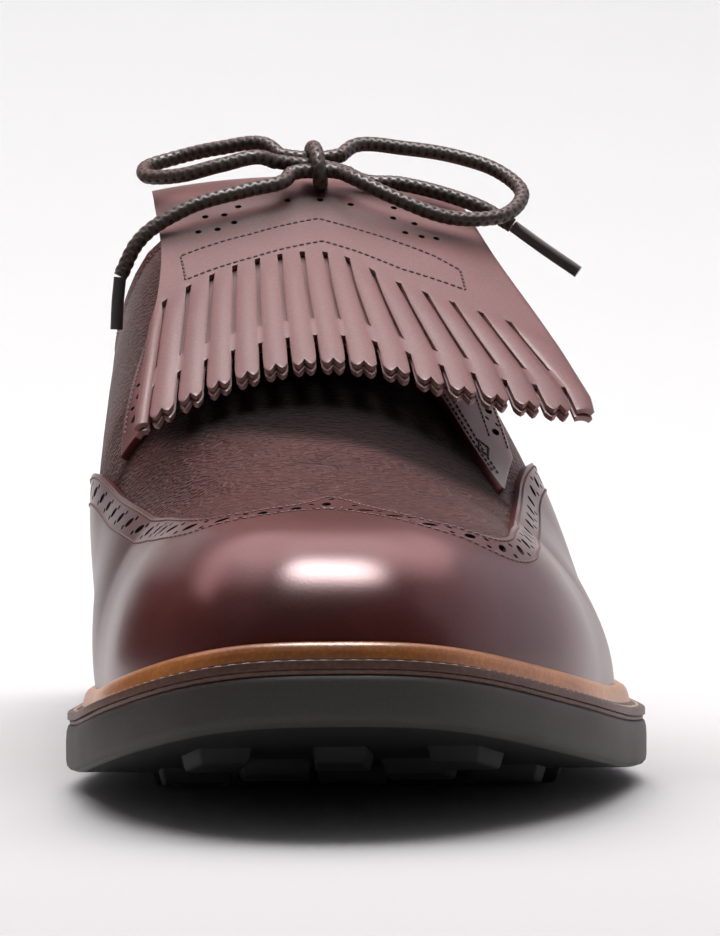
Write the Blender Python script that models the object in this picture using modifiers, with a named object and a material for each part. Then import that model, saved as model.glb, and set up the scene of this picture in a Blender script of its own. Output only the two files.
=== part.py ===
"""Full brogue derby, wearer's left shoe, with a fringed kiltie over the lacing.

The shoe points its toe to -Y, its lateral side to +X, and stands on z = 0.
Tables and sizes are in millimetres: along runs from the heel's back edge to the toe,
across is positive to the lateral side, up is the height above the floor.
"""

import math
from collections import namedtuple
from functools import lru_cache

import bmesh
import bpy
import numpy as np

MM = 0.001

# Driving sizes, in millimetres
SHOE_LENGTH = 302.0
LUG_DEPTH = 3.0
RUBBER = 7.6
MIDSOLE = 1.8
SEAT_GAP = 0.3
CURVE_GAP = 0.5
WALL = 2.0
OVERLAY = 1.2
INSOLE = 2.6
INSOLE_CLEAR = 0.6
TONGUE = 2.0
HEEL_PITCH = 20.0
LACE_DIAMETER = 3.2
AGLET_DIAMETER = 2.6

# Sole profile: level under the heel, a curved waist, a flat tread, then the toe spring
BREAST_ALONG = 76.0
TREAD_BACK = 168.0
TREAD_FRONT = 202.0
TOE_SPRING = 17.0

# Outline of the sole's edge: middle line and half width before the ends are rounded
OutlineRow = namedtuple("OutlineRow", "along middle half")
OUTLINE = [
    OutlineRow(0, -10.0, 33.0),
    OutlineRow(30, -10.0, 34.0),
    OutlineRow(70, -7.5, 34.0),
    OutlineRow(110, -2.0, 37.5),
    OutlineRow(150, 1.5, 45.5),
    OutlineRow(190, 1.5, 53.5),
    OutlineRow(215, -0.5, 55.8),
    OutlineRow(240, -3.5, 52.0),
    OutlineRow(265, -7.0, 47.7),
    OutlineRow(285, -10.0, 43.2),
    OutlineRow(302, -12.0, 40.0),
]
TOE_ROUND = (230.0, 2.8)
HEEL_ROUND = (38.0, 2.1)

# The upper at each station: how far its foot line lies inside the sole's edge,
# how far the wall swells out above it, and how full the section is on each side
WallRow = namedtuple("WallRow", "along reach swell_medial swell_lateral full_medial full_lateral")
WALL_ROWS = [
    WallRow(0, 5.0, 2.5, 2.5, 2.3, 2.3),
    WallRow(40, 5.0, 3.0, 3.0, 2.4, 2.3),
    WallRow(75, 5.2, 8.5, 3.6, 3.1, 2.3),
    WallRow(110, 6.0, 12.5, 3.8, 3.8, 2.4),
    WallRow(140, 7.0, 13.0, 4.2, 4.2, 2.5),
    WallRow(165, 7.6, 11.0, 3.0, 4.2, 2.4),
    WallRow(190, 8.0, 5.5, 1.6, 3.4, 1.95),
    WallRow(222, 8.2, 1.6, 1.4, 2.6, 1.9),
    WallRow(260, 7.8, 1.6, 1.6, 2.5, 2.3),
    WallRow(302, 7.4, 1.6, 1.6, 2.5, 2.5),
]
SWELL_RISE = (12.0, 3.4)

# Crown of the last: the line where its two sides meet, virtual over the open collar
CrownRow = namedtuple("CrownRow", "along across up")
CROWN = [
    CrownRow(40, -10.0, 140.0),
    CrownRow(60, -9.0, 128.0),
    CrownRow(80, -7.0, 121.0),
    CrownRow(100, -5.5, 115.5),
    CrownRow(112, -4.5, 111.0),
    CrownRow(125, -4.0, 104.8),
    CrownRow(140, -3.5, 96.5),
    CrownRow(160, -3.0, 86.5),
    CrownRow(180, -3.0, 77.0),
    CrownRow(200, -3.5, 68.5),
    CrownRow(222, -5.0, 61.0),
]
CROWN_SLOPE = 0.30

# Mouth of the upper: height of the topline, then half the gap between the facings
ToplineRow = namedtuple("ToplineRow", "along up")
TOPLINE = [
    ToplineRow(0, 96.0),
    ToplineRow(20, 94.0),
    ToplineRow(45, 87.5),
    ToplineRow(70, 84.0),
    ToplineRow(84, 86.5),
    ToplineRow(97, 94.0),
]
CORNER_BACK = 97.0
CORNER_BEND = 1.7
FACING_TOP = 112.0
THROAT_FRONT = 172.0
ThroatRow = namedtuple("ThroatRow", "along gap")
THROAT = [
    ThroatRow(112, 11.0),
    ThroatRow(135, 12.5),
    ThroatRow(154, 13.0),
    ThroatRow(163, 11.5),
    ThroatRow(169, 8.0),
    ThroatRow(172, 0.0),
]

RIB_SAMPLES = 49
ROUTE_SAMPLES = 12
WAY_STEP = 0.004
NORMAL_STEP = 0.006
MERGE = 0.00002
SMOOTH_ANGLE = math.radians(40)


def blend(t, step, values, slopes, row):
    """A cubic from one row to the next that keeps the slope at each."""
    start = (1 + 2 * t) * (1 - t) ** 2 * values[row] + t * (1 - t) ** 2 * step * slopes[row]
    end = t * t * (3 - 2 * t) * values[row + 1] - t * t * (1 - t) * step * slopes[row + 1]
    return start + end


def table(rows, name):
    """A smooth curve through one column of a table, read at any station."""
    stations = np.array([row[0] for row in rows], dtype=float)
    values = np.array([getattr(row, name) for row in rows], dtype=float)
    slopes = np.gradient(values, stations)

    def read(station):
        station = min(max(station, stations[0]), stations[-1])
        row = int(np.clip(np.searchsorted(stations, station) - 1, 0, len(stations) - 2))
        step = stations[row + 1] - stations[row]
        return blend((station - stations[row]) / step, step, values, slopes, row)

    return read


outline_middle = table(OUTLINE, "middle")
outline_half = table(OUTLINE, "half")
foot_reach = table(WALL_ROWS, "reach")
swell = {-1: table(WALL_ROWS, "swell_medial"), 1: table(WALL_ROWS, "swell_lateral")}
fullness = {-1: table(WALL_ROWS, "full_medial"), 1: table(WALL_ROWS, "full_lateral")}
crown_across = table(CROWN, "across")
crown_up = table(CROWN, "up")
topline_up = table(TOPLINE, "up")
throat_gap = table(THROAT, "gap")


def ease(t):
    t = min(max(t, 0.0), 1.0)
    return t * t * (3 - 2 * t)


def rim_up(along):
    """Height of the rubber's lower rim above the floor."""
    if along < TREAD_BACK:
        climb = ease((TREAD_BACK - along) / (TREAD_BACK - BREAST_ALONG))
        return LUG_DEPTH + (HEEL_PITCH - LUG_DEPTH) * climb
    if along > TREAD_FRONT:
        return LUG_DEPTH + TOE_SPRING * ((along - TREAD_FRONT) / (SHOE_LENGTH - TREAD_FRONT)) ** 2
    return LUG_DEPTH


def feather_up(along):
    """Height of the edge where the upper meets the sole."""
    return rim_up(along) + RUBBER + MIDSOLE + 2 * SEAT_GAP


def round_end(t, power):
    t = min(max(t, 0.0), 1.0)
    return (1 - t ** power) ** (1 / power)


def station(way):
    """Distance along the shoe for a way round: 0 at the toe tip, 1 at the heel's back."""
    return SHOE_LENGTH * (1 + math.cos(math.pi * abs(way))) / 2


def way_at(along, side):
    return side * math.acos(2 * along / SHOE_LENGTH - 1) / math.pi


def sole_edge(way):
    """Plan point on the sole's edge. Negative ways are medial, positive ways lateral."""
    along = station(way)
    half = outline_half(along)
    half *= round_end((along - TOE_ROUND[0]) / (SHOE_LENGTH - TOE_ROUND[0]), TOE_ROUND[1])
    half *= round_end((HEEL_ROUND[0] - along) / HEEL_ROUND[0], HEEL_ROUND[1])
    side = math.copysign(1.0, way)
    return np.array([along, outline_middle(along) + side * half])


def side_of(value):
    """-1 on the medial side, 1 on the lateral side."""
    return -1 if value < 0 else 1


def wrap(way):
    return (way + 1) % 2 - 1


@lru_cache(maxsize=None)
def inset_edge(way, inset):
    """The sole's edge moved inwards at right angles to itself."""
    tangent = sole_edge(wrap(way + WAY_STEP)) - sole_edge(wrap(way - WAY_STEP))
    inward = np.array([-tangent[1], tangent[0]]) / np.hypot(*tangent)
    return sole_edge(wrap(way)) + inward * inset


def foot_line(way):
    """Plan point where the upper's outer face meets the sole."""
    return inset_edge(way, foot_reach(station(way)))


@lru_cache(maxsize=None)
def rib(way):
    """The upper's outer face on one line, from the foot line up to the crown."""
    side = side_of(way)
    foot = foot_line(way)
    base = feather_up(foot[0])
    middle_along = min(max(foot[0], CROWN[0].along), CROWN[-1].along)
    middle = np.array([middle_along, crown_across(middle_along)])
    inward = middle - foot
    inward = inward / np.hypot(*inward)
    out = swell[side](station(way))
    power = 2 / fullness[side](station(way))
    turn = np.linspace(0, math.pi / 2, RIB_SAMPLES)
    flat = np.cos(turn) ** power
    flat[-1] = 0.0
    rise = np.sin(turn) ** power
    plan = middle + np.outer(flat, foot - inward * out - middle)
    near = 1 - flat
    tilt = near * near * (3 - 2 * near) * CROWN_SLOPE * np.maximum(plan[:, 0] - CROWN[-1].along, 0)
    up = base + (crown_up(middle_along) - base) * rise - tilt
    tuck = out * np.maximum(0, 1 - (up - base) / (SWELL_RISE[0] + SWELL_RISE[1] * out)) ** 2
    plan = plan + np.outer(tuck, inward)
    line = np.column_stack([plan, up])
    run = np.concatenate([[0], np.cumsum(np.linalg.norm(np.diff(line, axis=0), axis=1))])
    return line, run / run[-1]


def rib_point(way, share):
    line, run = rib(wrap(way))
    return np.array([np.interp(share, run, line[:, axis]) for axis in range(3)])


def share_at_height(way, up):
    line, run = rib(wrap(way))
    return float(np.interp(up, line[:, 2], run))


def share_at_gap(way, gap):
    line, run = rib(wrap(way))
    distance = np.hypot(line[:, 0] - line[-1, 0], line[:, 1] - line[-1, 1])
    widest = int(np.argmax(distance))
    return float(np.interp(-gap, -distance[widest:], run[widest:]))


def last_point(way, share, lift=0.0):
    """A point on the upper's outer face, or lifted off it along the face's normal."""
    point = rib_point(way, share)
    if lift == 0.0:
        return point
    forth = rib_point(way + NORMAL_STEP, share) - rib_point(way - NORMAL_STEP, share)
    above = rib_point(way, min(share + NORMAL_STEP, 1.0))
    below = rib_point(way, max(share - NORMAL_STEP, 0.0))
    normal = np.cross(forth, above - below)
    if not normal.any():
        normal = np.array([0.0, 0.0, 1.0])
    return point + normal / np.linalg.norm(normal) * lift


def outline_bounds():
    edge = np.array([sole_edge(way) for way in np.linspace(-1, 1, 721)])
    return edge.min(axis=0), edge.max(axis=0)


EDGE_LOW, EDGE_HIGH = outline_bounds()
CENTRE_ALONG = (EDGE_LOW[0] + EDGE_HIGH[0]) / 2
CENTRE_ACROSS = (EDGE_LOW[1] + EDGE_HIGH[1]) / 2


def place(point):
    """From along, across and up in millimetres to the shoe's frame in metres."""
    along, across, up = point
    return ((across - CENTRE_ACROSS) * MM, (CENTRE_ALONG - along) * MM, up * MM)


def clear_scene():
    for item in list(bpy.data.objects):
        bpy.data.objects.remove(item, do_unlink=True)


def new_collection(name):
    collection = bpy.data.collections.new(name)
    bpy.context.scene.collection.children.link(collection)
    return collection


def new_material(name, colour, roughness, metallic=0.0):
    material = bpy.data.materials.new(name)
    material.use_nodes = True
    shader = material.node_tree.nodes["Principled BSDF"]
    shader.inputs["Base Color"].default_value = (*colour, 1.0)
    shader.inputs["Roughness"].default_value = roughness
    shader.inputs["Metallic"].default_value = metallic
    return material


def add_object(name, mesh, material):
    mesh.materials.append(material)
    item = bpy.data.objects.new(name, mesh)
    PARTS.objects.link(item)
    return item


def mesh_from(name, bm, sheet=False):
    """A shaded mesh. A sheet keeps the side that its faces already show outwards."""
    if not sheet:
        bmesh.ops.recalc_face_normals(bm, faces=bm.faces)
    mesh = bpy.data.meshes.new(name)
    bm.to_mesh(mesh)
    bm.free()
    mesh.shade_smooth()
    mesh.set_sharp_from_angle(angle=SMOOTH_ANGLE)
    return mesh


def grid_sheet(columns, closed=False):
    """An open sheet of quads from columns of points, with touching points merged."""
    bm = bmesh.new()
    verts = [[bm.verts.new(place(point)) for point in column] for column in columns]
    pairs = list(zip(verts, verts[1:]))
    if closed:
        pairs.append((verts[-1], verts[0]))
    for left, right in pairs:
        for row in range(len(left) - 1):
            bm.faces.new((left[row], right[row], right[row + 1], left[row + 1]))
    bmesh.ops.remove_doubles(bm, verts=bm.verts, dist=MERGE)
    bmesh.ops.dissolve_degenerate(bm, dist=MERGE, edges=bm.edges)
    return bm


def solidify(item, thickness, offset):
    wall = item.modifiers.new("wall", "SOLIDIFY")
    wall.thickness = thickness * MM
    wall.offset = offset
    wall.use_even_offset = True
    return wall


# Upper: stations along one side, denser where the mouth turns and at both ends
UPPER_STATIONS = [
    302, 301.6, 300, 297, 291, 283, 273, 261, 248, 235, 222, 212, 204, 196, 188, 180, 172, 169, 163, 154,
    145, 135, 124, 112, 110.5, 108.5, 106, 102, 97, 91, 83, 72, 58, 44, 31, 20, 11, 4.5, 1.2, 0,
]
UPPER_ROWS = 11


def mouth_share(way):
    """How far up its rib the upper's wall reaches."""
    along = station(way)
    if along >= THROAT_FRONT:
        return 1.0
    if along >= FACING_TOP:
        return share_at_gap(way, throat_gap(along))
    if along <= CORNER_BACK:
        return share_at_height(way, topline_up(along))
    low = share_at_height(way, topline_up(CORNER_BACK))
    high = share_at_gap(way, throat_gap(FACING_TOP))
    return low + (high - low) * ((along - CORNER_BACK) / (FACING_TOP - CORNER_BACK)) ** CORNER_BEND


def both_sides(stations):
    """Ways round from the heel's back along the medial side, over the toe and back."""
    lateral = [way_at(along, 1) for along in stations]
    return [-way for way in reversed(lateral)] + lateral[1:]


def wall_shares(way):
    """The shares of a rib at which the upper's wall has its rows."""
    return [mouth_share(way) * row / UPPER_ROWS for row in range(UPPER_ROWS + 1)]


def upper(material):
    columns = []
    for way in both_sides(UPPER_STATIONS)[:-1]:
        columns.append([last_point(way, share) for share in wall_shares(way)])
    bm = grid_sheet(columns, closed=True)
    item = add_object("upper", mesh_from("upper", bm, sheet=True), material)
    solidify(item, WALL, -1.0)
    return item


# Heights over the feather edge: top of the welt's rib, and foot of the overlays
RIB_HEIGHT = 4.2
OVERLAY_FOOT = 5.2

# Welt section from the rib's inner shoulder out to the sole's edge, heights over its base
WELT_FOOT = 0.2
RIB_SHOULDER = 3.6
WeltRow = namedtuple("WeltRow", "share up")
WELT_TOP = [
    WeltRow(0.26, RIB_HEIGHT),
    WeltRow(0.50, 3.5),
    WeltRow(0.60, 2.2),
    WeltRow(1.00, 2.0),
]

# Wing: height of its edge on the rib that starts at each station of the foot line
WingRow = namedtuple("WingRow", "along up_medial up_lateral")
WING = [
    WingRow(140, 21.0, 21.0),
    WingRow(150, 32.0, 31.0),
    WingRow(160, 44.0, 42.0),
    WingRow(172, 51.0, 51.0),
    WingRow(186, 54.0, 55.5),
    WingRow(202, 53.5, 55.0),
    WingRow(222, 50.5, 51.5),
    WingRow(240, 48.5, 48.5),
    WingRow(256, 48.0, 47.0),
    WingRow(268, 49.0, 47.8),
    WingRow(280, 50.4, 49.4),
    WingRow(291, 52.0, 51.4),
    WingRow(297, 53.2, 52.9),
    WingRow(300, 54.2, 54.0),
    WingRow(302, 56.2, 56.2),
]

# Counter: height of its edge from the heel's back to its front tip
CounterRow = namedtuple("CounterRow", "along up")
COUNTER = [
    CounterRow(0, 74.0),
    CounterRow(15, 73.0),
    CounterRow(32, 68.0),
    CounterRow(50, 58.0),
    CounterRow(64, 47.0),
    CounterRow(78, 38.0),
]

# Facings: plan distance from the crown to their throat edge and to their rear seam
FacingRow = namedtuple("FacingRow", "along throat seam")
FACING_MEDIAL = [
    FacingRow(112, 11.5, 25.0),
    FacingRow(125, 12.3, 28.0),
    FacingRow(140, 13.5, 31.5),
    FacingRow(152, 17.0, 34.5),
    FacingRow(164, 23.5, 37.5),
    FacingRow(175, 31.5, 39.8),
    FacingRow(187, 38.8, 40.8),
]
FACING_LATERAL = [
    FacingRow(112, 11.5, 24.0),
    FacingRow(125, 12.3, 26.5),
    FacingRow(140, 13.2, 29.5),
    FacingRow(155, 14.8, 32.0),
    FacingRow(170, 18.5, 34.0),
    FacingRow(185, 24.0, 35.5),
    FacingRow(206, 32.5, 35.0),
]
FACING = {-1: FACING_MEDIAL, 1: FACING_LATERAL}
facing_seam = {side: table(rows, "seam") for side, rows in FACING.items()}
facing_throat = {side: table(rows, "throat") for side, rows in FACING.items()}
wing_up = {-1: table(WING, "up_medial"), 1: table(WING, "up_lateral")}
SEAM_STEP = 0.03
TAB_CLEAR = 3.0

# Tongue: half width and depth under the upper, from behind the facings to below the vamp
TongueRow = namedtuple("TongueRow", "along half clear")
TONGUE_PROFILE = [
    TongueRow(100, 17.0, 3.2),
    TongueRow(112, 18.0, 3.0),
    TongueRow(126, 23.5, 1.4),
    TongueRow(150, 25.0, 1.2),
    TongueRow(180, 23.0, 1.4),
]
TONGUE_STATIONS = 12
TONGUE_ROWS = 4

# Kiltie: its middle line from the back edge to the fringe, then its half width on each side
# and how far each side edge drops and runs forward of the middle
KiltieRow = namedtuple(
    "KiltieRow",
    "share along across up half_medial half_lateral drop_medial drop_lateral run_medial run_lateral",
)
KILTIE = [
    KiltieRow(0.00, 98.5, -5.0, 111.7, 20.0, 20.0, 2.6, 4.0, 0.0, 0.0),
    KiltieRow(0.15, 112, -4.0, 116.6, 30.5, 31.0, 3.0, 3.0, 0.0, 0.0),
    KiltieRow(0.30, 125, -4.0, 115.5, 31.5, 32.0, 3.5, 3.5, 0.0, 0.0),
    KiltieRow(0.55, 147, -2.0, 104.5, 33.0, 36.0, 5.5, 6.0, 3.0, 0.0),
    KiltieRow(0.80, 171, -1.0, 91.0, 37.5, 43.0, 9.5, 8.0, 7.0, 0.0),
    KiltieRow(1.00, 188, 0.0, 81.0, 41.5, 47.0, 14.0, 9.5, 10.0, 0.0),
]
KILTIE_PLY = 2.4
STRIPS = 16
SLIT = 0.9
TOOTH = 1.7
TOOTH_DROP = 1.0
SLIT_SPAN = (0.58, 0.84)
EDGE_SLIT = 0.91
KILTIE_SHARES = [0.0, 0.12, 0.27, 0.43, SLIT_SPAN[0], 0.71, SLIT_SPAN[1], EDGE_SLIT, 1.0]

# Lacing: eyelet stations, their distance from the crown and the cord's lift off the last
EYELETS = [156.0, 144.0, 132.0, 120.0]
EYELET_GAP = 19.0
LACE_LIFT = 3.6
LACE_OVER = 4.9
CROSSING_STEPS = 8
CORD_SPACING = 2.2
CORD_SIDES = 1

# Knot of the bow
KNOT_CENTRE = (130.0, -3.0, 121.0)
KNOT_SIZE = (10.0, 15.0, 9.6)
KNOT_SEGMENTS = (16, 10)
KNOT_SAMPLES = 60

# Hand-laid cord routes, from the knot outwards, as along, across and up
LOOP_MEDIAL = [
    (124, -12, 125.6), (120.5, -22, 125.0), (118, -31, 123.0), (121, -37.4, 120.8),
    (127, -37.4, 118.8), (131.5, -31, 118.8), (133.6, -22, 121.0), (133, -13.5, 122.6),
]
LOOP_LATERAL = [
    (124, 6.5, 125.4), (122.5, 18, 125.0), (123, 28, 123.4), (126, 37, 120.2), (133, 41.4, 115.2),
    (140, 37, 110.6), (142.5, 26, 109.8), (140.5, 13, 114.4), (136.5, 5, 118.5),
]
END_MEDIAL = [
    (137, -9, 117.7), (140, -17, 115.6), (142, -30, 111.6), (143, -40, 104.6), (143.2, -43.6, 97.6),
]
END_LATERAL = [
    (130.5, 7, 118.2), (131.5, 16, 117.2), (133, 25, 115.0), (134.5, 33, 112.0), (135.6, 39, 108.4),
]
AGLET_MEDIAL = [(143.25, -43.8, 96.9), (143.4, -44.2, 91.5), (143.4, -44.4, 86.6)]
AGLET_LATERAL = [(135.75, 39.5, 108.0), (137.5, 46, 103.2), (139, 52.6, 98.6)]

# Tread: lug rows, and shares across the sole where lugs begin and end
LUG_LENGTH = 10.0
LUG_TAPER = 0.86
ROW_TOLERANCE = 2.0
FACES_DOWN = -0.5
SOLE_ROWS = [284.0 - 15.0 * row for row in range(12)]
HEEL_ROWS = [69.0 - 14.0 * row for row in range(4)]
TREAD_COLUMNS = [0.0, 0.14, 0.28, 0.43, 0.57, 0.72, 0.86, 1.0]
TREAD_LUGS = [(1, 3, 5), (2, 4)]
TOE_STATIONS = [302.0, 301.6, 300.2, 297.0, 292.0, 288.0]
WAIST_STATIONS = [98.0, 86.0, BREAST_ALONG, 64.0, 50.0]
HEEL_STATIONS = [36.0, 24.0, 14.0, 6.5, 1.6, 0.0]
HEEL_FRONT = 75.0
RIM_CHAMFER = (0.9, 1.3)
PLATE_STATIONS = [
    302, 301.6, 300.2, 297, 292, 285, 276, 265, 253, 240, 225, 210, 195, 180, 165, 150, 135, 120, 105,
    90, 76, 62, 48, 36, 24, 14, 6.5, 1.6, 0,
]


def closed_solid(columns, cap=False):
    """A solid from rings of points, each ring a section right across the sole."""
    bm = bmesh.new()
    rings = [[bm.verts.new(place(point)) for point in column] for column in columns]
    count = len(rings[0])
    for left, right in zip(rings, rings[1:]):
        for row in range(count):
            after = (row + 1) % count
            bm.faces.new((left[row], left[after], right[after], right[row]))
    if cap:
        bm.faces.new(rings[0])
    bmesh.ops.remove_doubles(bm, verts=bm.verts, dist=MERGE)
    bmesh.ops.dissolve_degenerate(bm, dist=MERGE, edges=bm.edges)
    return bm


def plate(name, material, inset, low, high):
    """A sheet that follows the sole's profile, with its edge inset from the sole's."""
    columns = []
    for along in PLATE_STATIONS:
        medial = inset_edge(way_at(along, -1), inset(along))
        lateral = inset_edge(way_at(along, 1), inset(along))
        section = [(*edge, rim_up(edge[0]) + up) for edge, up in
                   ((medial, low), (lateral, low), (lateral, high), (medial, high))]
        columns.append(section)
    bm = closed_solid(columns)
    return add_object(name, mesh_from(name, bm), material)


def tread_section(along, low, high):
    """One section of a rubber block: tread columns below, a chamfered rim and a flat top."""
    chamfer, chamfer_up = RIM_CHAMFER
    ways = (way_at(along, -1), way_at(along, 1))
    under = [inset_edge(way, chamfer) for way in ways]
    edge = [inset_edge(way, 0.0) for way in ways]
    section = []
    for share in TREAD_COLUMNS:
        plan = under[0] * (1 - share) + under[1] * share
        section.append((*plan, low(plan[0])))
    section.append((*edge[1], low(edge[1][0]) + chamfer_up))
    section.append((*edge[1], high(edge[1][0])))
    section.append((*edge[0], high(edge[0][0])))
    section.append((*edge[0], low(edge[0][0]) + chamfer_up))
    return section


def grow_lugs(bm, rows):
    """Draw each lug down from its cell of the tread, tapered, but never below the floor."""
    cells = []
    for row, front in enumerate(rows):
        middle = (CENTRE_ALONG - (front - LUG_LENGTH / 2)) * MM
        level = [face for face in bm.faces if face.normal.z < FACES_DOWN and len(face.verts) == 4
                 and abs(face.calc_center_median().y - middle) < ROW_TOLERANCE * MM]
        level.sort(key=lambda face: face.calc_center_median().x)
        cells += [level[column] for column in TREAD_LUGS[row % 2]]
    made = bmesh.ops.extrude_discrete_faces(bm, faces=cells)
    for face in made["faces"]:
        centre = face.calc_center_median()
        for vert in face.verts:
            vert.co.x = centre.x + (vert.co.x - centre.x) * LUG_TAPER
            vert.co.y = centre.y + (vert.co.y - centre.y) * LUG_TAPER
            vert.co.z = max(vert.co.z - LUG_DEPTH * MM, 0.0)


def rubber_block(name, material, stations, rows, low, high, cap):
    columns = [tread_section(along, low, high) for along in stations]
    bm = closed_solid(columns, cap)
    bmesh.ops.recalc_face_normals(bm, faces=bm.faces)
    grow_lugs(bm, rows)
    return add_object(name, mesh_from(name, bm), material)


def lug_stations(rows):
    return [along for front in rows for along in (front, front - LUG_LENGTH)]


def outsole(material):
    stations = TOE_STATIONS + lug_stations(SOLE_ROWS) + WAIST_STATIONS + HEEL_STATIONS
    return rubber_block("outsole", material, stations, SOLE_ROWS, rim_up,
                        lambda along: rim_up(along) + RUBBER, cap=False)


def heel(material):
    stations = [HEEL_FRONT] + lug_stations(HEEL_ROWS) + HEEL_STATIONS[2:]
    return rubber_block("heel", material, stations, HEEL_ROWS, lambda along: LUG_DEPTH,
                        lambda along: rim_up(along) - SEAT_GAP, cap=True)


def welt(material):
    """A storm welt: a flange out to the sole's edge and a rounded rib against the upper."""
    columns = []
    for way in both_sides(PLATE_STATIONS)[:-1]:
        base = feather_up(foot_line(way)[0])
        edge = inset_edge(way, SEAT_GAP)
        floor = feather_up(edge[0])
        low = last_point(way, share_at_height(way, base + WELT_FOOT), CURVE_GAP)
        high = last_point(way, share_at_height(way, base + RIB_SHOULDER), CURVE_GAP)
        column = [(low[0], low[1], base), (high[0], high[1], base + RIB_SHOULDER)]
        for row in WELT_TOP:
            plan = high[:2] * (1 - row.share) + edge * row.share
            column.append((*plan, base * (1 - row.share) + floor * row.share + row.up))
        column.append((*edge, floor))
        columns.append(column)
    columns.append(columns[0])
    bm = closed_solid(columns)
    return add_object("welt", mesh_from("welt", bm), material)


def overlay(name, ways, foot, edge, material):
    """A panel on the upper's own rows and ribs, from a foot share to an edge share of each."""
    columns = []
    for way in ways:
        low = foot(way)
        high = edge(way)
        inner = [min(max(share, low), high) for share in wall_shares(way)]
        columns.append([last_point(way, share, CURVE_GAP) for share in [low, *inner, high]])
    bm = grid_sheet(columns)
    item = add_object(name, mesh_from(name, bm, sheet=True), material)
    solidify(item, OVERLAY, 1.0)
    return item


def above_welt(way):
    return share_at_height(way, feather_up(foot_line(way)[0]) + OVERLAY_FOOT)


def seam_share(way):
    """Where a facing's rear seam crosses a rib."""
    return share_at_gap(way, facing_seam[side_of(way)](station(way)))


def throat_share(way):
    """Where a facing's throat edge crosses a rib."""
    return share_at_gap(way, facing_throat[side_of(way)](station(way)))


def wing_share(way):
    """Where the wing's edge crosses a rib: its own height, kept clear of the facing's seam."""
    share = share_at_height(way, wing_up[side_of(way)](station(way)))
    if station(way) <= FACING[side_of(way)][-1].along + TAB_CLEAR:
        share = min(share, seam_share(way) - SEAM_STEP)
    return max(share, above_welt(way) + SEAM_STEP)


def stations_between(back, front):
    """The upper's own stations from front to back, with both ends added."""
    inner = [along for along in UPPER_STATIONS if back < along < front]
    return [front, *inner, back]


def wing_cap(material):
    ways = both_sides(stations_between(WING[0].along, WING[-1].along))
    return overlay("wing_cap", ways, above_welt, wing_share, material)


def counter(material):
    edge_up = table(COUNTER, "up")
    half = [way_at(along, 1) for along in stations_between(COUNTER[0].along, COUNTER[-1].along)]
    ways = half + [-way for way in reversed(half)][1:]
    return overlay("counter", ways, above_welt,
                   lambda way: share_at_height(way, edge_up(station(way))), material)


def facing(name, side, material):
    stations = stations_between(FACING[side][0].along, FACING[side][-1].along)
    ways = sorted(way_at(along, side) for along in stations)
    return overlay(name, ways, seam_share, throat_share, material)


def tongue(material):
    half = table(TONGUE_PROFILE, "half")
    clear = table(TONGUE_PROFILE, "clear")
    columns = []
    for along in np.linspace(TONGUE_PROFILE[0].along, TONGUE_PROFILE[-1].along, TONGUE_STATIONS):
        column = []
        for row in range(-TONGUE_ROWS, TONGUE_ROWS + 1):
            way = way_at(along, side_of(row))
            gap = half(along) * abs(row) / TONGUE_ROWS
            column.append(last_point(way, share_at_gap(way, gap), -WALL - clear(along)))
        columns.append(column)
    bm = grid_sheet(columns)
    item = add_object("tongue", mesh_from("tongue", bm, sheet=True), material)
    solidify(item, TONGUE, -1.0)
    return item


KILTIE_READ = {name: table(KILTIE, name) for name in KiltieRow._fields[1:]}


def kiltie_point(across, share):
    """A point of the kiltie: across from -1 medial to 1 lateral, share from back to fringe."""
    side = "medial" if across < 0 else "lateral"
    read = {name: curve(share) for name, curve in KILTIE_READ.items()}
    along = read["along"] + read["run_" + side] * across * across
    drop = read["drop_" + side] * across * across
    return np.array([along, read["across"] + across * read["half_" + side], read["up"] - drop])


def kiltie(material):
    """A flap of leather with long slits, short slits at its edge and pinked teeth."""
    bm = bmesh.new()
    width = KILTIE[-1].half_medial + KILTIE[-1].half_lateral
    slit = 2 * SLIT / width
    strip = (2 - slit * (STRIPS - 1)) / STRIPS
    places = []
    for number in range(STRIPS):
        start = -1 + number * (strip + slit)
        places += [start, start + strip / 2, start + strip]
    verts = [[bm.verts.new(place(kiltie_point(across, share))) for share in KILTIE_SHARES]
             for across in places]
    for column in range(len(places) - 1):
        in_slit = column % 3 == 2
        for row, share in enumerate(KILTIE_SHARES[:-1]):
            if in_slit and (SLIT_SPAN[0] <= share < SLIT_SPAN[1] or share >= EDGE_SLIT):
                continue
            left, right = verts[column], verts[column + 1]
            bm.faces.new((left[row], left[row + 1], right[row + 1], right[row]))
        if not in_slit:
            tip = kiltie_point((places[column] + places[column + 1]) / 2, 1.0)
            tip = tip + np.array([TOOTH, 0.0, -TOOTH_DROP])
            bm.faces.new((verts[column][-1], bm.verts.new(place(tip)), verts[column + 1][-1]))
    item = add_object("kiltie", mesh_from("kiltie", bm, sheet=True), material)
    solidify(item, KILTIE_PLY, 1.0)
    return item


def smooth_route(points, spacing):
    """Even steps along a smooth curve through hand-laid points."""
    points = np.array(points, dtype=float)
    steps = np.linalg.norm(np.diff(points, axis=0), axis=1)
    run = np.concatenate([[0], np.cumsum(steps)])
    slopes = np.gradient(points, run, axis=0)
    fine = []
    for row in range(len(steps)):
        for t in np.linspace(0, 1, ROUTE_SAMPLES, endpoint=False):
            fine.append(blend(t, steps[row], points, slopes, row))
    fine.append(points[-1])
    fine = np.array(fine)
    length = np.concatenate([[0], np.cumsum(np.linalg.norm(np.diff(fine, axis=0), axis=1))])
    count = max(3, round(length[-1] / spacing) + 1)
    even = np.linspace(0, length[-1], count)
    return np.column_stack([np.interp(even, length, fine[:, axis]) for axis in range(3)])


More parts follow.
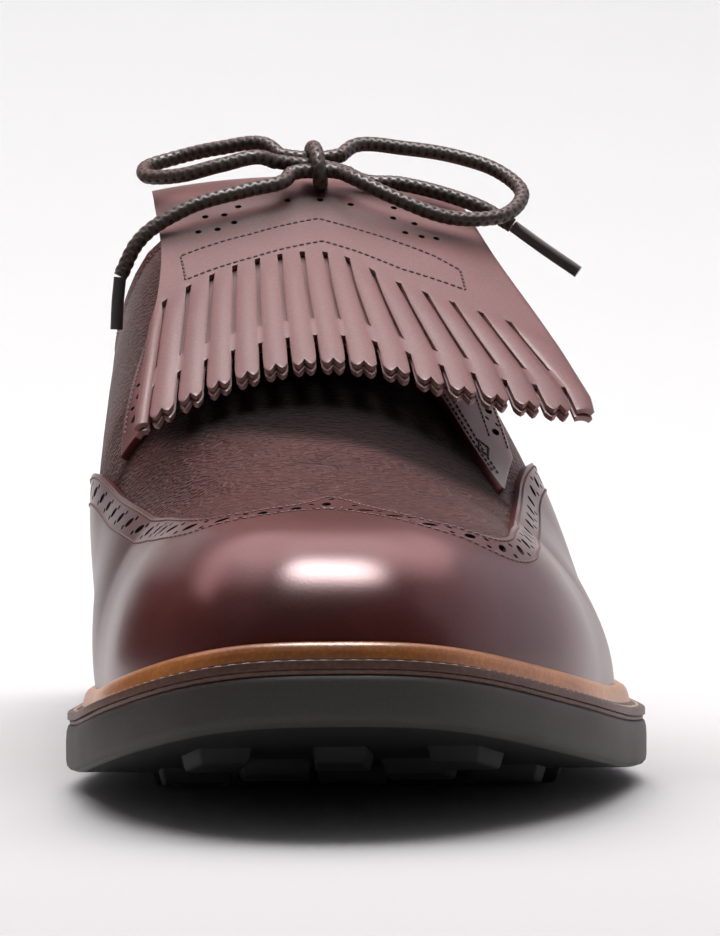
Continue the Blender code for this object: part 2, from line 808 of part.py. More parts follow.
def cord(name, points, diameter, material):
    """A round cord on a smooth curve through its route's points."""
    curve = bpy.data.curves.new(name, "CURVE")
    curve.dimensions = "3D"
    curve.bevel_depth = diameter / 2 * MM
    curve.bevel_resolution = CORD_SIDES
    curve.use_fill_caps = True
    route = smooth_route(points, CORD_SPACING * diameter)
    spline = curve.splines.new("POLY")
    spline.points.add(len(route) - 1)
    for knot, point in zip(spline.points, route):
        knot.co = (*place(point), 1.0)
    return add_object(name, curve, material)


def leave_knot(towards):
    """The point just off the knot's rounded side that lies nearest to a cord's first point."""
    turn, climb = np.meshgrid(np.linspace(-math.pi, math.pi, 2 * KNOT_SAMPLES),
                              np.linspace(-math.pi / 2, math.pi / 2, KNOT_SAMPLES))
    ball = np.stack([np.cos(climb) * np.cos(turn), np.cos(climb) * np.sin(turn), np.sin(climb)], axis=-1)
    side = np.array(KNOT_CENTRE) + ball.reshape(-1, 3) * (np.array(KNOT_SIZE) / 2 + CURVE_GAP)
    return side[np.argmin(np.linalg.norm(side - np.array(towards), axis=1))]


def from_knot(points):
    return [leave_knot(points[0]), *points]


def knot(material):
    """The bow's knot as one rounded solid on the kiltie."""
    bm = bmesh.new()
    bmesh.ops.create_uvsphere(bm, u_segments=KNOT_SEGMENTS[0], v_segments=KNOT_SEGMENTS[1], radius=0.5)
    size = [KNOT_SIZE[1] * MM, KNOT_SIZE[0] * MM, KNOT_SIZE[2] * MM]
    bmesh.ops.scale(bm, vec=size, verts=bm.verts)
    bmesh.ops.translate(bm, vec=place(KNOT_CENTRE), verts=bm.verts)
    return add_object("lace_knot", mesh_from("lace_knot", bm), material)


def crossing_route(side, lift):
    """One half of the lacing: a zigzag up the throat. The lateral half makes the lowest bar too."""
    stops = [(EYELETS[0], -EYELET_GAP)] if side > 0 else []
    for number, along in enumerate(EYELETS):
        stops.append((along, side * EYELET_GAP * (1 if number % 2 == 0 else -1)))
    route = []
    for (along, gap), (next_along, next_gap) in zip(stops, stops[1:]):
        for t in np.linspace(0, 1, CROSSING_STEPS, endpoint=False):
            here = along + (next_along - along) * t
            reach = gap + (next_gap - gap) * t
            way = way_at(here, side_of(reach))
            route.append(last_point(way, share_at_gap(way, abs(reach)), lift))
    return route


def solid_of(curve_item):
    """A curve's tube as a closed mesh object, with its caps welded on."""
    graph = bpy.context.evaluated_depsgraph_get()
    mesh = bpy.data.meshes.new_from_object(curve_item.evaluated_get(graph))
    bm = bmesh.new()
    bm.from_mesh(mesh)
    bmesh.ops.remove_doubles(bm, verts=bm.verts, dist=MERGE)
    bmesh.ops.recalc_face_normals(bm, faces=bm.faces)
    bm.to_mesh(mesh)
    bm.free()
    item = bpy.data.objects.new(curve_item.name, mesh)
    item.matrix_world = curve_item.matrix_world
    bpy.data.objects.remove(curve_item, do_unlink=True)
    return item


def lace_crossings(material):
    halves = []
    for name, side, lift in (("lace_crossings", 1, LACE_LIFT), ("lace_crossings_half", -1, LACE_OVER)):
        halves.append(solid_of(cord(name, crossing_route(side, lift), LACE_DIAMETER, material)))
    whole, cutter = halves
    whole.name = "lace_crossings"
    PARTS.objects.link(whole)
    CUTTERS.objects.link(cutter)
    cutter.hide_render = True
    cutter.display_type = "WIRE"
    join = whole.modifiers.new("joined", "BOOLEAN")
    join.operation = "UNION"
    join.object = cutter
    return whole


def main():
    grain = new_material("grained_leather", (0.09, 0.042, 0.036), 0.5)
    smooth = new_material("smooth_leather", (0.16, 0.05, 0.05), 0.3)
    rubber = new_material("dark_rubber", (0.04, 0.038, 0.034), 0.75)
    brown = new_material("edge_leather", (0.11, 0.06, 0.035), 0.6)
    tan = new_material("tan_welt", (0.45, 0.2, 0.06), 0.5)
    lining = new_material("insole_leather", (0.4, 0.25, 0.14), 0.6)
    waxed = new_material("waxed_cord", (0.06, 0.04, 0.03), 0.5)
    tip = new_material("lace_tip", (0.12, 0.1, 0.11), 0.35)

    outsole(rubber)
    heel(rubber)
    plate("midsole", brown, lambda along: SEAT_GAP, RUBBER + SEAT_GAP, RUBBER + SEAT_GAP + MIDSOLE)
    welt(tan)
    feather = RUBBER + MIDSOLE + 2 * SEAT_GAP
    plate("insole", lining, lambda along: foot_reach(along) + WALL + INSOLE_CLEAR, feather, feather + INSOLE)
    upper(grain)
    wing_cap(smooth)
    counter(smooth)
    facing("facing_medial", -1, smooth)
    facing("facing_lateral", 1, smooth)
    tongue(grain)
    kiltie(smooth)
    lace_crossings(waxed)
    knot(waxed)
    cord("lace_loop_medial", [*from_knot(LOOP_MEDIAL), leave_knot(LOOP_MEDIAL[-1])], LACE_DIAMETER, waxed)
    cord("lace_loop_lateral", [*from_knot(LOOP_LATERAL), leave_knot(LOOP_LATERAL[-1])], LACE_DIAMETER, waxed)
    cord("lace_end_medial", from_knot(END_MEDIAL), LACE_DIAMETER, waxed)
    cord("lace_end_lateral", from_knot(END_LATERAL), LACE_DIAMETER, waxed)
    cord("aglet_medial", AGLET_MEDIAL, AGLET_DIAMETER, tip)
    cord("aglet_lateral", AGLET_LATERAL, AGLET_DIAMETER, tip)


clear_scene()
PARTS = new_collection("full_brogue_derby")
CUTTERS = new_collection("cutters")
main()
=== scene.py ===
import math
from collections import namedtuple
from functools import lru_cache

import bmesh
import bpy
import numpy as np
from mathutils import Matrix, Vector


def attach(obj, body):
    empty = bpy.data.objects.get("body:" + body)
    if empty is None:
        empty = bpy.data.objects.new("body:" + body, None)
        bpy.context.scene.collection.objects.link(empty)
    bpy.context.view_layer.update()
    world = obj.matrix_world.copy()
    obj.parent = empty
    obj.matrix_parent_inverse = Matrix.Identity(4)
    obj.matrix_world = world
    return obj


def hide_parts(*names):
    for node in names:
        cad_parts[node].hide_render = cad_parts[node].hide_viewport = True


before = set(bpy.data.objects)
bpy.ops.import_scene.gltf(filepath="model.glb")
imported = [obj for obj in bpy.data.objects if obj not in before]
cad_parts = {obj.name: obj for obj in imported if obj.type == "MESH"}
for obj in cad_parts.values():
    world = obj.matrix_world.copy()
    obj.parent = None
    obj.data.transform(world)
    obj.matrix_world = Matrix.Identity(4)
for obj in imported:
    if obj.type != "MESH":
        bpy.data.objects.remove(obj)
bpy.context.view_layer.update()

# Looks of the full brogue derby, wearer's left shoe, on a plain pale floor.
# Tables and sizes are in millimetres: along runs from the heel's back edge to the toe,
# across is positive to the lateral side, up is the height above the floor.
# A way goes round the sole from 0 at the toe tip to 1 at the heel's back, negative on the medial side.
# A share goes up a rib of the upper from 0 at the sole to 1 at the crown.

MM = 0.001

# Sizes of the shoe
SHOE_LENGTH = 302.0
LUG_DEPTH = 3.0
RUBBER = 7.6
MIDSOLE = 1.8
SEAT_GAP = 0.3
CURVE_GAP = 0.5
WALL = 2.0
OVERLAY = 1.6
TONGUE = 2.0
HEEL_PITCH = 20.0
LACE_DIAMETER = 3.2
AGLET_DIAMETER = 2.6
BREAST_ALONG = 76.0
TREAD_BACK = 168.0
TREAD_FRONT = 202.0
TOE_SPRING = 17.0

OutlineRow = namedtuple("OutlineRow", "along middle half")
OUTLINE = [OutlineRow(*row) for row in (
    (0, -10.0, 33.0), (30, -10.0, 34.0), (70, -7.5, 34.0), (110, -2.0, 37.5), (150, 1.5, 45.5),
    (190, 1.5, 53.5), (215, -0.5, 55.8), (240, -3.5, 52.0), (265, -7.0, 47.7), (285, -10.0, 43.2),
    (302, -12.0, 40.0),
)]
TOE_ROUND = (230.0, 2.8)
HEEL_ROUND = (38.0, 2.1)

WallRow = namedtuple("WallRow", "along reach swell_medial swell_lateral full_medial full_lateral")
WALL_ROWS = [WallRow(*row) for row in (
    (0, 5.0, 2.5, 2.5, 2.3, 2.3), (40, 5.0, 3.0, 3.0, 2.4, 2.3), (75, 5.2, 8.5, 3.6, 3.1, 2.3),
    (110, 6.0, 12.5, 3.8, 3.8, 2.4), (140, 7.0, 13.0, 4.2, 4.2, 2.5), (165, 7.6, 11.0, 3.0, 4.2, 2.4),
    (190, 8.0, 5.5, 1.6, 3.4, 1.95), (222, 8.2, 1.6, 1.4, 2.6, 1.9), (260, 7.8, 1.6, 1.6, 2.5, 2.3),
    (302, 7.4, 1.6, 1.6, 2.5, 2.5),
)]
SWELL_RISE = (12.0, 3.4)

CrownRow = namedtuple("CrownRow", "along across up")
CROWN = [CrownRow(*row) for row in (
    (40, -10.0, 140.0), (60, -9.0, 128.0), (80, -7.0, 121.0), (100, -5.5, 115.5), (112, -4.5, 111.0),
    (125, -4.0, 104.8), (140, -3.5, 96.5), (160, -3.0, 86.5), (180, -3.0, 77.0), (200, -3.5, 68.5),
    (222, -5.0, 61.0),
)]
CROWN_SLOPE = 0.30

ToplineRow = namedtuple("ToplineRow", "along up")
TOPLINE = [ToplineRow(*row) for row in (
    (0, 96.0), (20, 94.0), (45, 87.5), (70, 84.0), (84, 86.5), (97, 94.0),
)]
CORNER_BACK = 97.0
CORNER_BEND = 1.7
FACING_TOP = 112.0
THROAT_FRONT = 172.0
ThroatRow = namedtuple("ThroatRow", "along gap")
THROAT = [ThroatRow(*row) for row in (
    (112, 11.0), (135, 12.5), (154, 13.0), (163, 11.5), (169, 8.0), (172, 0.0),
)]

WingRow = namedtuple("WingRow", "way share")
WING = [WingRow(*row) for row in (
    (-0.55, 0.08), (-0.53, 0.24), (-0.5, 0.375), (-0.465, 0.44), (-0.4, 0.48), (-0.345, 0.52),
    (-0.31, 0.53), (-0.245, 0.495), (-0.21, 0.48), (-0.18, 0.485), (-0.145, 0.52), (-0.115, 0.58),
    (-0.075, 0.63), (-0.045, 0.68), (-0.01, 0.73), (0.01, 0.705), (0.045, 0.635), (0.095, 0.515),
    (0.12, 0.455), (0.145, 0.43), (0.195, 0.4), (0.215, 0.42), (0.24, 0.465), (0.29, 0.52), (0.355, 0.545),
    (0.4, 0.535), (0.445, 0.515), (0.475, 0.47), (0.5, 0.385), (0.53, 0.24), (0.55, 0.08),
)]

CounterRow = namedtuple("CounterRow", "along up")
COUNTER = [CounterRow(*row) for row in (
    (0, 74.0), (15, 73.0), (32, 68.0), (50, 58.0), (64, 47.0), (78, 38.0),
)]

FacingRow = namedtuple("FacingRow", "along throat seam")
FACING = {
    -1: [FacingRow(*row) for row in (
        (112, 11.5, 25.0), (125, 12.3, 28.0), (140, 13.5, 31.5), (152, 17.0, 34.5), (164, 23.5, 37.5),
        (175, 31.5, 39.8), (187, 38.8, 40.8),
    )],
    1: [FacingRow(*row) for row in (
        (112, 11.5, 24.0), (125, 12.3, 26.5), (140, 13.2, 29.5), (155, 14.8, 32.0), (170, 18.5, 34.0),
        (185, 24.0, 35.5), (206, 32.5, 35.0),
    )],
}
# Soft troughs and ridges in the leather: from, to, depth and half width
CREASES = [
    ((284, -24, 48), (291, -27, 40), 0.75, 5.0),
    ((282, 4, 48), (290, 5, 40), 0.35, 5.0),
    ((261, -35, 49), (277, -38, 40), 0.3, 5.0),
    ((198, -41, 58), (223, -32, 56), 0.6, 2.6),
    ((202, -42, 56), (223, -35, 53), 0.4, 2.2),
    ((234, 11, 56), (241, 20, 52), 0.5, 3.0),
    ((225, -26, 58), (232, -12, 58), -0.7, 5.0),
    ((223, -7, 61), (239, -8, 56), 0.5, 3.0),
]
SEAM_STEP = 0.03
TAB_ENDS = {-1: 184.0, 1: 203.0}
TAB_CUT = 181.0
TAB_POINT = 0.58

TongueRow = namedtuple("TongueRow", "along half clear")
TONGUE_PROFILE = [TongueRow(*row) for row in (
    (100, 17.0, 3.2), (112, 18.0, 3.0), (126, 23.5, 1.4), (150, 25.0, 1.2), (180, 23.0, 1.4),
)]

KiltieRow = namedtuple(
    "KiltieRow",
    "share along across up half_medial half_lateral drop_medial drop_lateral run_medial run_lateral",
)
KILTIE = [KiltieRow(*row) for row in (
    (0.00, 98.5, -5.0, 111.7, 20.0, 20.0, 2.6, 4.0, 0.0, 0.0),
    (0.15, 112, -4.0, 116.6, 30.5, 31.0, 3.0, 3.0, 0.0, 0.0),
    (0.30, 125, -4.0, 115.5, 31.5, 32.0, 3.5, 3.5, 0.0, 0.0),
    (0.55, 147, -2.0, 104.5, 33.0, 36.0, 5.5, 6.0, 3.0, 0.0),
    (0.80, 171, -1.0, 91.0, 37.5, 43.0, 9.5, 8.0, 7.0, 0.0),
    (1.00, 188, 0.0, 81.0, 41.5, 47.0, 14.0, 9.5, 10.0, 0.0),
)]

RIB_SAMPLES = 241
WAY_STEP = 0.004
FACE_STEP = 0.006
MERGE = 0.00002
TRIM = 0.93
HOLE_ROOM = 0.25
HOLE_SIDES = 14
AIM_STEP = 0.6
WING_LEAST = 5.2


def blend(t, step, values, slopes, row):
    """A cubic from one row to the next that keeps the slope at each."""
    start = (1 + 2 * t) * (1 - t) ** 2 * values[row] + t * (1 - t) ** 2 * step * slopes[row]
    end = t * t * (3 - 2 * t) * values[row + 1] - t * t * (1 - t) * step * slopes[row + 1]
    return start + end


def table(rows, name):
    """A smooth curve through one column of a table, read at any station."""
    stations = np.array([row[0] for row in rows], dtype=float)
    values = np.array([getattr(row, name) for row in rows], dtype=float)
    slopes = np.gradient(values, stations)

    def read(station):
        station = min(max(station, stations[0]), stations[-1])
        row = int(np.clip(np.searchsorted(stations, station) - 1, 0, len(stations) - 2))
        step = stations[row + 1] - stations[row]
        return blend((station - stations[row]) / step, step, values, slopes, row)

    return read


outline_middle = table(OUTLINE, "middle")
outline_half = table(OUTLINE, "half")
foot_reach = table(WALL_ROWS, "reach")
swell = {-1: table(WALL_ROWS, "swell_medial"), 1: table(WALL_ROWS, "swell_lateral")}
fullness = {-1: table(WALL_ROWS, "full_medial"), 1: table(WALL_ROWS, "full_lateral")}
crown_across = table(CROWN, "across")
crown_up = table(CROWN, "up")
topline_up = table(TOPLINE, "up")
throat_gap = table(THROAT, "gap")
counter_up = table(COUNTER, "up")
wing_edge = table(WING, "share")
facing_seam = {side: table(rows, "seam") for side, rows in FACING.items()}
facing_throat = {side: table(rows, "throat") for side, rows in FACING.items()}
tongue_half = table(TONGUE_PROFILE, "half")
tongue_clear = table(TONGUE_PROFILE, "clear")
kiltie_read = {name: table(KILTIE, name) for name in KiltieRow._fields[1:]}


def run_of(points):
    """How far each of some points lies along the line through them."""
    return np.concatenate([[0], np.cumsum(np.linalg.norm(np.diff(points, axis=0), axis=1))])


def at_run(run, points, at):
    """The points at some distances along the line through others."""
    return np.transpose([np.interp(at, run, column) for column in np.transpose(points)])


def ease(t):
    t = min(max(t, 0.0), 1.0)
    return t * t * (3 - 2 * t)


def rim_up(along):
    """Height of the rubber's lower rim above the floor."""
    if along < TREAD_BACK:
        climb = ease((TREAD_BACK - along) / (TREAD_BACK - BREAST_ALONG))
        return LUG_DEPTH + (HEEL_PITCH - LUG_DEPTH) * climb
    if along > TREAD_FRONT:
        return LUG_DEPTH + TOE_SPRING * ((along - TREAD_FRONT) / (SHOE_LENGTH - TREAD_FRONT)) ** 2
    return LUG_DEPTH


def feather_up(along):
    """Height of the edge where the upper meets the sole."""
    return rim_up(along) + RUBBER + MIDSOLE + 2 * SEAT_GAP


def round_end(t, power):
    t = min(max(t, 0.0), 1.0)
    return (1 - t ** power) ** (1 / power)


def station(way):
    """Distance along the shoe for a way round: 0 at the toe tip, 1 at the heel's back."""
    return SHOE_LENGTH * (1 + math.cos(math.pi * abs(way))) / 2


def way_at(along, side):
    return side * math.acos(2 * along / SHOE_LENGTH - 1) / math.pi


def wrap(way):
    return (way + 1) % 2 - 1


def side_of(value):
    """-1 on the medial side, 1 on the lateral side."""
    return -1 if value < 0 else 1


def sole_edge(way):
    """Plan point on the sole's edge. Negative ways are medial, positive ways lateral."""
    along = station(way)
    half = outline_half(along)
    half *= round_end((along - TOE_ROUND[0]) / (SHOE_LENGTH - TOE_ROUND[0]), TOE_ROUND[1])
    half *= round_end((HEEL_ROUND[0] - along) / HEEL_ROUND[0], HEEL_ROUND[1])
    return np.array([along, outline_middle(along) + math.copysign(1.0, way) * half])


@lru_cache(maxsize=None)
def inset_edge(way, inset):
    """The sole's edge moved inwards at right angles to itself."""
    tangent = sole_edge(wrap(way + WAY_STEP)) - sole_edge(wrap(way - WAY_STEP))
    inward = np.array([-tangent[1], tangent[0]]) / np.hypot(*tangent)
    return sole_edge(wrap(way)) + inward * inset


def foot_line(way):
    """Plan point where the upper's outer face meets the sole."""
    return inset_edge(way, foot_reach(station(way)))


def crease_depth(points):
    """How far the creases draw the leather in at each of some points."""
    depth = np.zeros(len(points))
    for start, stop, deep, width in CREASES:
        run = np.subtract(stop, start)
        near = np.clip((points - start) @ run / (run @ run), 0, 1)
        away = np.linalg.norm(points - start - np.outer(near, run), axis=1)
        depth += deep * np.exp(-(away / width) ** 2)
    return depth


@lru_cache(maxsize=None)
def rib(way):
    """The upper's outer face on one line, from the foot line up to the crown."""
    side = side_of(way)
    foot = foot_line(way)
    base = feather_up(foot[0])
    pair = (foot[0] + foot_line(wrap(-way))[0]) / 2
    middle_along = min(max(pair, CROWN[0].along), CROWN[-1].along)
    middle = np.array([middle_along, crown_across(middle_along)])
    inward = (middle - foot) / np.hypot(*(middle - foot))
    out = swell[side](station(way))
    power = 2 / fullness[side](station(way))
    turn = np.linspace(0, math.pi / 2, RIB_SAMPLES)
    flat = np.cos(turn) ** power
    flat[-1] = 0.0
    rise = np.sin(turn) ** power
    plan = middle + np.outer(flat, foot - inward * out - middle)
    near = 1 - flat
    tilt = near * near * (3 - 2 * near) * CROWN_SLOPE * np.maximum(plan[:, 0] - CROWN[-1].along, 0)
    up = base + (crown_up(middle_along) - base) * rise - tilt
    tuck = out * np.maximum(0, 1 - (up - base) / (SWELL_RISE[0] + SWELL_RISE[1] * out)) ** 2
    plan = plan + np.outer(tuck, inward)
    line = np.column_stack([plan, up])
    outward = np.cross(np.gradient(line, axis=0), [inward[1], -inward[0], 0.0])
    outward *= np.sign(outward @ [-inward[0], -inward[1], 1.0])[:, None]
    outward /= np.linalg.norm(outward, axis=1, keepdims=True)
    line = line - outward * crease_depth(line)[:, None]
    run = run_of(line)
    return line, run / run[-1]


def rib_points(way, shares):
    line, run = rib(round(wrap(way), 9))
    return at_run(run, line, shares)


def last_points(way, shares, lifts=0.0):
    """Points on the upper's outer face, each lifted off it along the face's normal."""
    shares = np.asarray(shares, dtype=float)
    forth = rib_points(way + FACE_STEP, shares) - rib_points(way - FACE_STEP, shares)
    above = rib_points(way, np.minimum(shares + FACE_STEP, 1.0))
    below = rib_points(way, np.maximum(shares - FACE_STEP, 0.0))
    normal = np.cross(forth, above - below)
    size = np.linalg.norm(normal, axis=1, keepdims=True)
    normal = np.where(size > 1e-9, normal / np.maximum(size, 1e-9), [0.0, 0.0, 1.0])
    return rib_points(way, shares) + normal * np.reshape(lifts, (-1, 1))


def last_face(way, share):
    return rib_points(way, [share])[0]


def share_at_height(way, up):
    line, run = rib(round(wrap(way), 9))
    return float(np.interp(up, line[:, 2], run))


def share_at_gap(way, gap):
    line, run = rib(round(wrap(way), 9))
    distance = np.hypot(line[:, 0] - line[-1, 0], line[:, 1] - line[-1, 1])
    widest = int(np.argmax(distance))
    return float(np.interp(-gap, -distance[widest:], run[widest:]))


def outline_bounds():
    edge = np.array([sole_edge(way) for way in np.linspace(-1, 1, 721)])
    return edge.min(axis=0), edge.max(axis=0)


EDGE_LOW, EDGE_HIGH = outline_bounds()
CENTRE_ALONG, CENTRE_ACROSS = (EDGE_LOW + EDGE_HIGH) / 2


def place(point):
    """From along, across and up in millimetres to the shoe's frame in metres."""
    along, across, up = point
    return ((across - CENTRE_ACROSS) * MM, (CENTRE_ALONG - along) * MM, up * MM)


def turned(vector):
    """A direction in along, across and up, in the shoe's frame."""
    return Vector((vector[1], -vector[0], vector[2]))


def mouth_share(way):
    """How far up its rib the upper's wall reaches."""
    along = station(wrap(way))
    if along >= THROAT_FRONT:
        return 1.0
    if along >= FACING_TOP:
        return share_at_gap(way, throat_gap(along))
    if along <= CORNER_BACK:
        return share_at_height(way, topline_up(along))
    low = share_at_height(way, topline_up(CORNER_BACK))
    high = share_at_gap(way, throat_gap(FACING_TOP))
    return low + (high - low) * ((along - CORNER_BACK) / (FACING_TOP - CORNER_BACK)) ** CORNER_BEND


def over_feather(way, height):
    """Share of a rib at a height over the edge where the upper meets the sole."""
    return share_at_height(way, feather_up(foot_line(wrap(way))[0]) + height)


def seam_share(way):
    """The facing's outer seam. The lateral tab is cut on the slant to its inner corner."""
    along = station(way)
    if way < 0 or along < TAB_CUT:
        return share_at_gap(way, facing_seam[side_of(way)](along))
    start = way_at(TAB_CUT, 1)
    low = share_at_gap(start, facing_seam[1](TAB_CUT))
    return low + (TAB_POINT - low) * (along - TAB_CUT) / (TAB_ENDS[1] - TAB_CUT)


def throat_share(way):
    return share_at_gap(way, facing_throat[side_of(way)](station(way)))


def wing_share(way):
    """Where the wing's edge crosses a rib."""
    return max(wing_edge(way), over_feather(way, WING_LEAST) + SEAM_STEP)


def counter_share(way):
    return share_at_height(way, counter_up(station(wrap(way))))


# Pieces

def finish_piece(item, nodes):
    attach(item, "root")
    if nodes:
        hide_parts(*nodes)
    return item


def object_from(name, bm, materials, sharp=40):
    mesh = bpy.data.meshes.new(name)
    bm.to_mesh(mesh)
    bm.free()
    mesh.shade_smooth()
    mesh.set_sharp_from_angle(angle=math.radians(sharp))
    for material in materials:
        mesh.materials.append(material)
    item = bpy.data.objects.new(name, mesh)
    bpy.context.scene.collection.objects.link(item)
    return item


def moved_grid(columns, rows, column_points, skip=None, look=None, paint=None):
    """A grid whose columns of vertices are moved to the points given for each column.

    skip leaves cells out, look gives a row of cells its material, and paint gives a vertex its painted shade
    value, which darkens its material where it is low.
    """
    bm = bmesh.new()
    bmesh.ops.create_grid(bm, x_segments=columns, y_segments=rows, size=0.5)
    cut = []
    for face in bm.faces:
        middle = face.calc_center_median()
        column, row = int((middle.x + 0.5) * columns), int((middle.y + 0.5) * rows)
        if skip and skip(column, row):
            cut.append(face)
        if look:
            face.material_index = look(row)
    bmesh.ops.delete(bm, geom=cut, context="FACES")
    mottle_and_painted_shade = bm.verts.layers.float.new("mottle_and_painted_shade") if paint else None
    spots = {}
    for vert in bm.verts:
        column = round((vert.co.x + 0.5) * columns)
        row = round((vert.co.y + 0.5) * rows)
        if column not in spots:
            spots[column] = column_points(column / columns)
        if paint:
            vert[mottle_and_painted_shade] = paint(column, row, spots[column][row])
        vert.co = place(spots[column][row])
    bmesh.ops.remove_doubles(bm, verts=bm.verts, dist=MERGE)
    bmesh.ops.dissolve_degenerate(bm, dist=MERGE, edges=bm.edges)
    return bm


def thicken(item, thickness, offset, inner=0, rim=0):
    wall = item.modifiers.new("thickness", "SOLIDIFY")
    wall.thickness = thickness * MM
    wall.offset = offset
    wall.use_even_offset = True
    wall.material_offset = inner
    wall.material_offset_rim = rim


def soften(item, width, segments=2):
    edge = item.modifiers.new("rounded edge", "BEVEL")
    edge.width = width * MM
    edge.segments = segments
    edge.limit_method = "ANGLE"
    edge.angle_limit = math.radians(60)
    edge.use_clamp_overlap = True


def settle(item):
    """Make the modifiers' result the object's own mesh."""
    graph = bpy.context.evaluated_depsgraph_get()
    mesh = bpy.data.meshes.new_from_object(item.evaluated_get(graph))
    item.modifiers.clear()
    item.data = mesh
    return item


def frame_at(face, u, v, tangent=None):
    """Point, tangent and normal of a face at u, v. The tangent is along u unless one is given."""
    forth = face(u + FACE_STEP, v) - face(u - FACE_STEP, v)
    rising = face(u, v + FACE_STEP) - face(u, v - FACE_STEP)
    normal = np.cross(forth, rising)
    normal = normal / np.linalg.norm(normal)
    return face(u, v), forth if tangent is None else tangent, normal


def aside(face, route, distance):
    """A route of u, v moved over its face: to its left for a positive distance."""
    spots = np.array([face(u, v) for u, v in route])
    tangents = np.gradient(spots, axis=0)
    moved = []
    for (u, v), tangent in zip(route, tangents):
        forth = (face(u + FACE_STEP, v) - face(u - FACE_STEP, v)) / (2 * FACE_STEP)
        rising = (face(u, v + FACE_STEP) - face(u, v - FACE_STEP)) / (2 * FACE_STEP)
        normal = np.cross(forth, rising)
        left = np.cross(normal, tangent)
        left = left / np.linalg.norm(left) * distance
        shift = np.linalg.lstsq(np.column_stack([forth, rising]), left, rcond=None)[0]
        u, v = u + shift[0], v + shift[1]
        if np.linalg.norm(spots - face(u, v), axis=1).min() > TRIM * abs(distance):
            moved.append((u, v))
    return moved


def seats(face, route, pitch, lift, phase=0.0, turn=0.0):
    """Frames at even steps along a route of u, v, lifted off the face."""
    run = run_of([face(u, v) for u, v in route])
    made = []
    for at in np.arange(pitch * (0.5 + phase), run[-1], pitch):
        ahead = face(*at_run(run, route, min(at + AIM_STEP, run[-1])))
        behind = face(*at_run(run, route, max(at - AIM_STEP, 0)))
        point, tangent, normal = frame_at(face, *at_run(run, route, at), ahead - behind)
        made.append(seat(point + normal * lift, tangent, normal, turn))
    return made


def seat(point, tangent, normal, turn=0.0):
    """A frame with x along a tangent and z along a normal."""
    up = turned(normal).normalized()
    forth = turned(tangent)
    forth = (forth - up * forth.dot(up)).normalized()
    matrix = Matrix((forth, up.cross(forth), up)).transposed().to_4x4()
    matrix.translation = place(point)
    return matrix @ Matrix.Rotation(turn, 4, "Z")


def sized(along, across, up):
    return Matrix.Diagonal((along * MM, across * MM, up * MM, 1.0))


def stitches(name, places, size, material):
    """Rows of sewn thread: a small rounded stitch at each place."""
    bm = bmesh.new()
    for matrix in places:
        bmesh.ops.create_uvsphere(bm, u_segments=6, v_segments=4, radius=0.5,
                                  matrix=matrix @ sized(*size) @ Matrix.Rotation(math.pi / 2, 4, "Y"))
    return finish_piece(object_from(name, bm, [material], sharp=80), [])


def hole_gap(first, second):
    """Width of the leather between two holes."""
    between = (first[0].translation - second[0].translation).length / MM
    return between - 0.5 * (first[1] + second[1])


def apart(holes):
    """The holes that don't run into an earlier one."""
    kept = []
    for hole in holes:
        if all(hole_gap(hole, other) > HOLE_ROOM for other in kept):
            kept.append(hole)
    return kept


def punch(item, holes, material):
    """Cut round and oval holes through a panel. Each hole is a frame and its two widths."""
    bm = bmesh.new()
    for matrix, length, width in holes:
        bmesh.ops.create_cone(bm, cap_ends=True, segments=HOLE_SIDES, radius1=0.5, radius2=0.5, depth=1.0,
                              matrix=matrix @ sized(length, width, 5.0))
    cutter = object_from(item.name + "_punch", bm, [material])
    cut = item.modifiers.new("holes", "BOOLEAN")
    cut.operation = "DIFFERENCE"
    cut.object = cutter
    settle(item)
    bpy.data.objects.remove(cutter, do_unlink=True)
    item.data.set_sharp_from_angle(angle=math.radians(40))


def shaded_hole_floors(name, holes, material):
    """Painted shade: dark disks at the bottom of punched holes."""
    bm = bmesh.new()
    for matrix, length, width in holes:
        bmesh.ops.create_circle(bm, cap_ends=True, segments=HOLE_SIDES, radius=0.5,
                                matrix=matrix @ sized(length * 1.15, width * 1.15, 1.0))
    return finish_piece(object_from(name, bm, [material]), [])


# Materials

BEND_SCALE = 160.0
BEND_REACH = 0.0022
PORE_SCALE = 2600.0
PORE_HEIGHT = 0.22
VALLEY_SHADE = (0.35, 0.3, 0.3, 1)
COAT_ROUGHNESS = 0.3
DULL = 0.95
LEATHER_INPUTS = {
    "Colour": ("NodeSocketColor", (0.2, 0.1, 0.1, 1)), "Shade": ("NodeSocketColor", (0.1, 0.05, 0.05, 1)),
    "Mottle": ("NodeSocketFloat", 30.0), "Grain": ("NodeSocketFloat", 700.0),
    "Stretch": ("NodeSocketVector", (1, 1, 1)), "Valley": ("NodeSocketFloat", 0.5),
    "Low Roughness": ("NodeSocketFloat", 0.25), "High Roughness": ("NodeSocketFloat", 0.4),
}
LEATHER_OUTPUTS = {"Color": "NodeSocketColor", "Roughness": "NodeSocketFloat", "Height": "NodeSocketFloat"}


def add_node(tree, kind, inputs=None, **settings):
    """A shader node. Each input given takes a value, or a link from another node."""
    node = tree.nodes.new("ShaderNode" + kind)
    for name, value in settings.items():
        setattr(node, name, value)
    for name, value in (inputs or {}).items():
        if isinstance(value, bpy.types.NodeSocket):
            tree.links.new(value, node.inputs[name])
        else:
            node.inputs[name].default_value = value
    return node


def mixed(tree, share, first, second, **settings):
    """A colour between two others."""
    return add_node(tree, "Mix", {0: share, 6: first, 7: second}, data_type="RGBA", **settings).outputs[2]


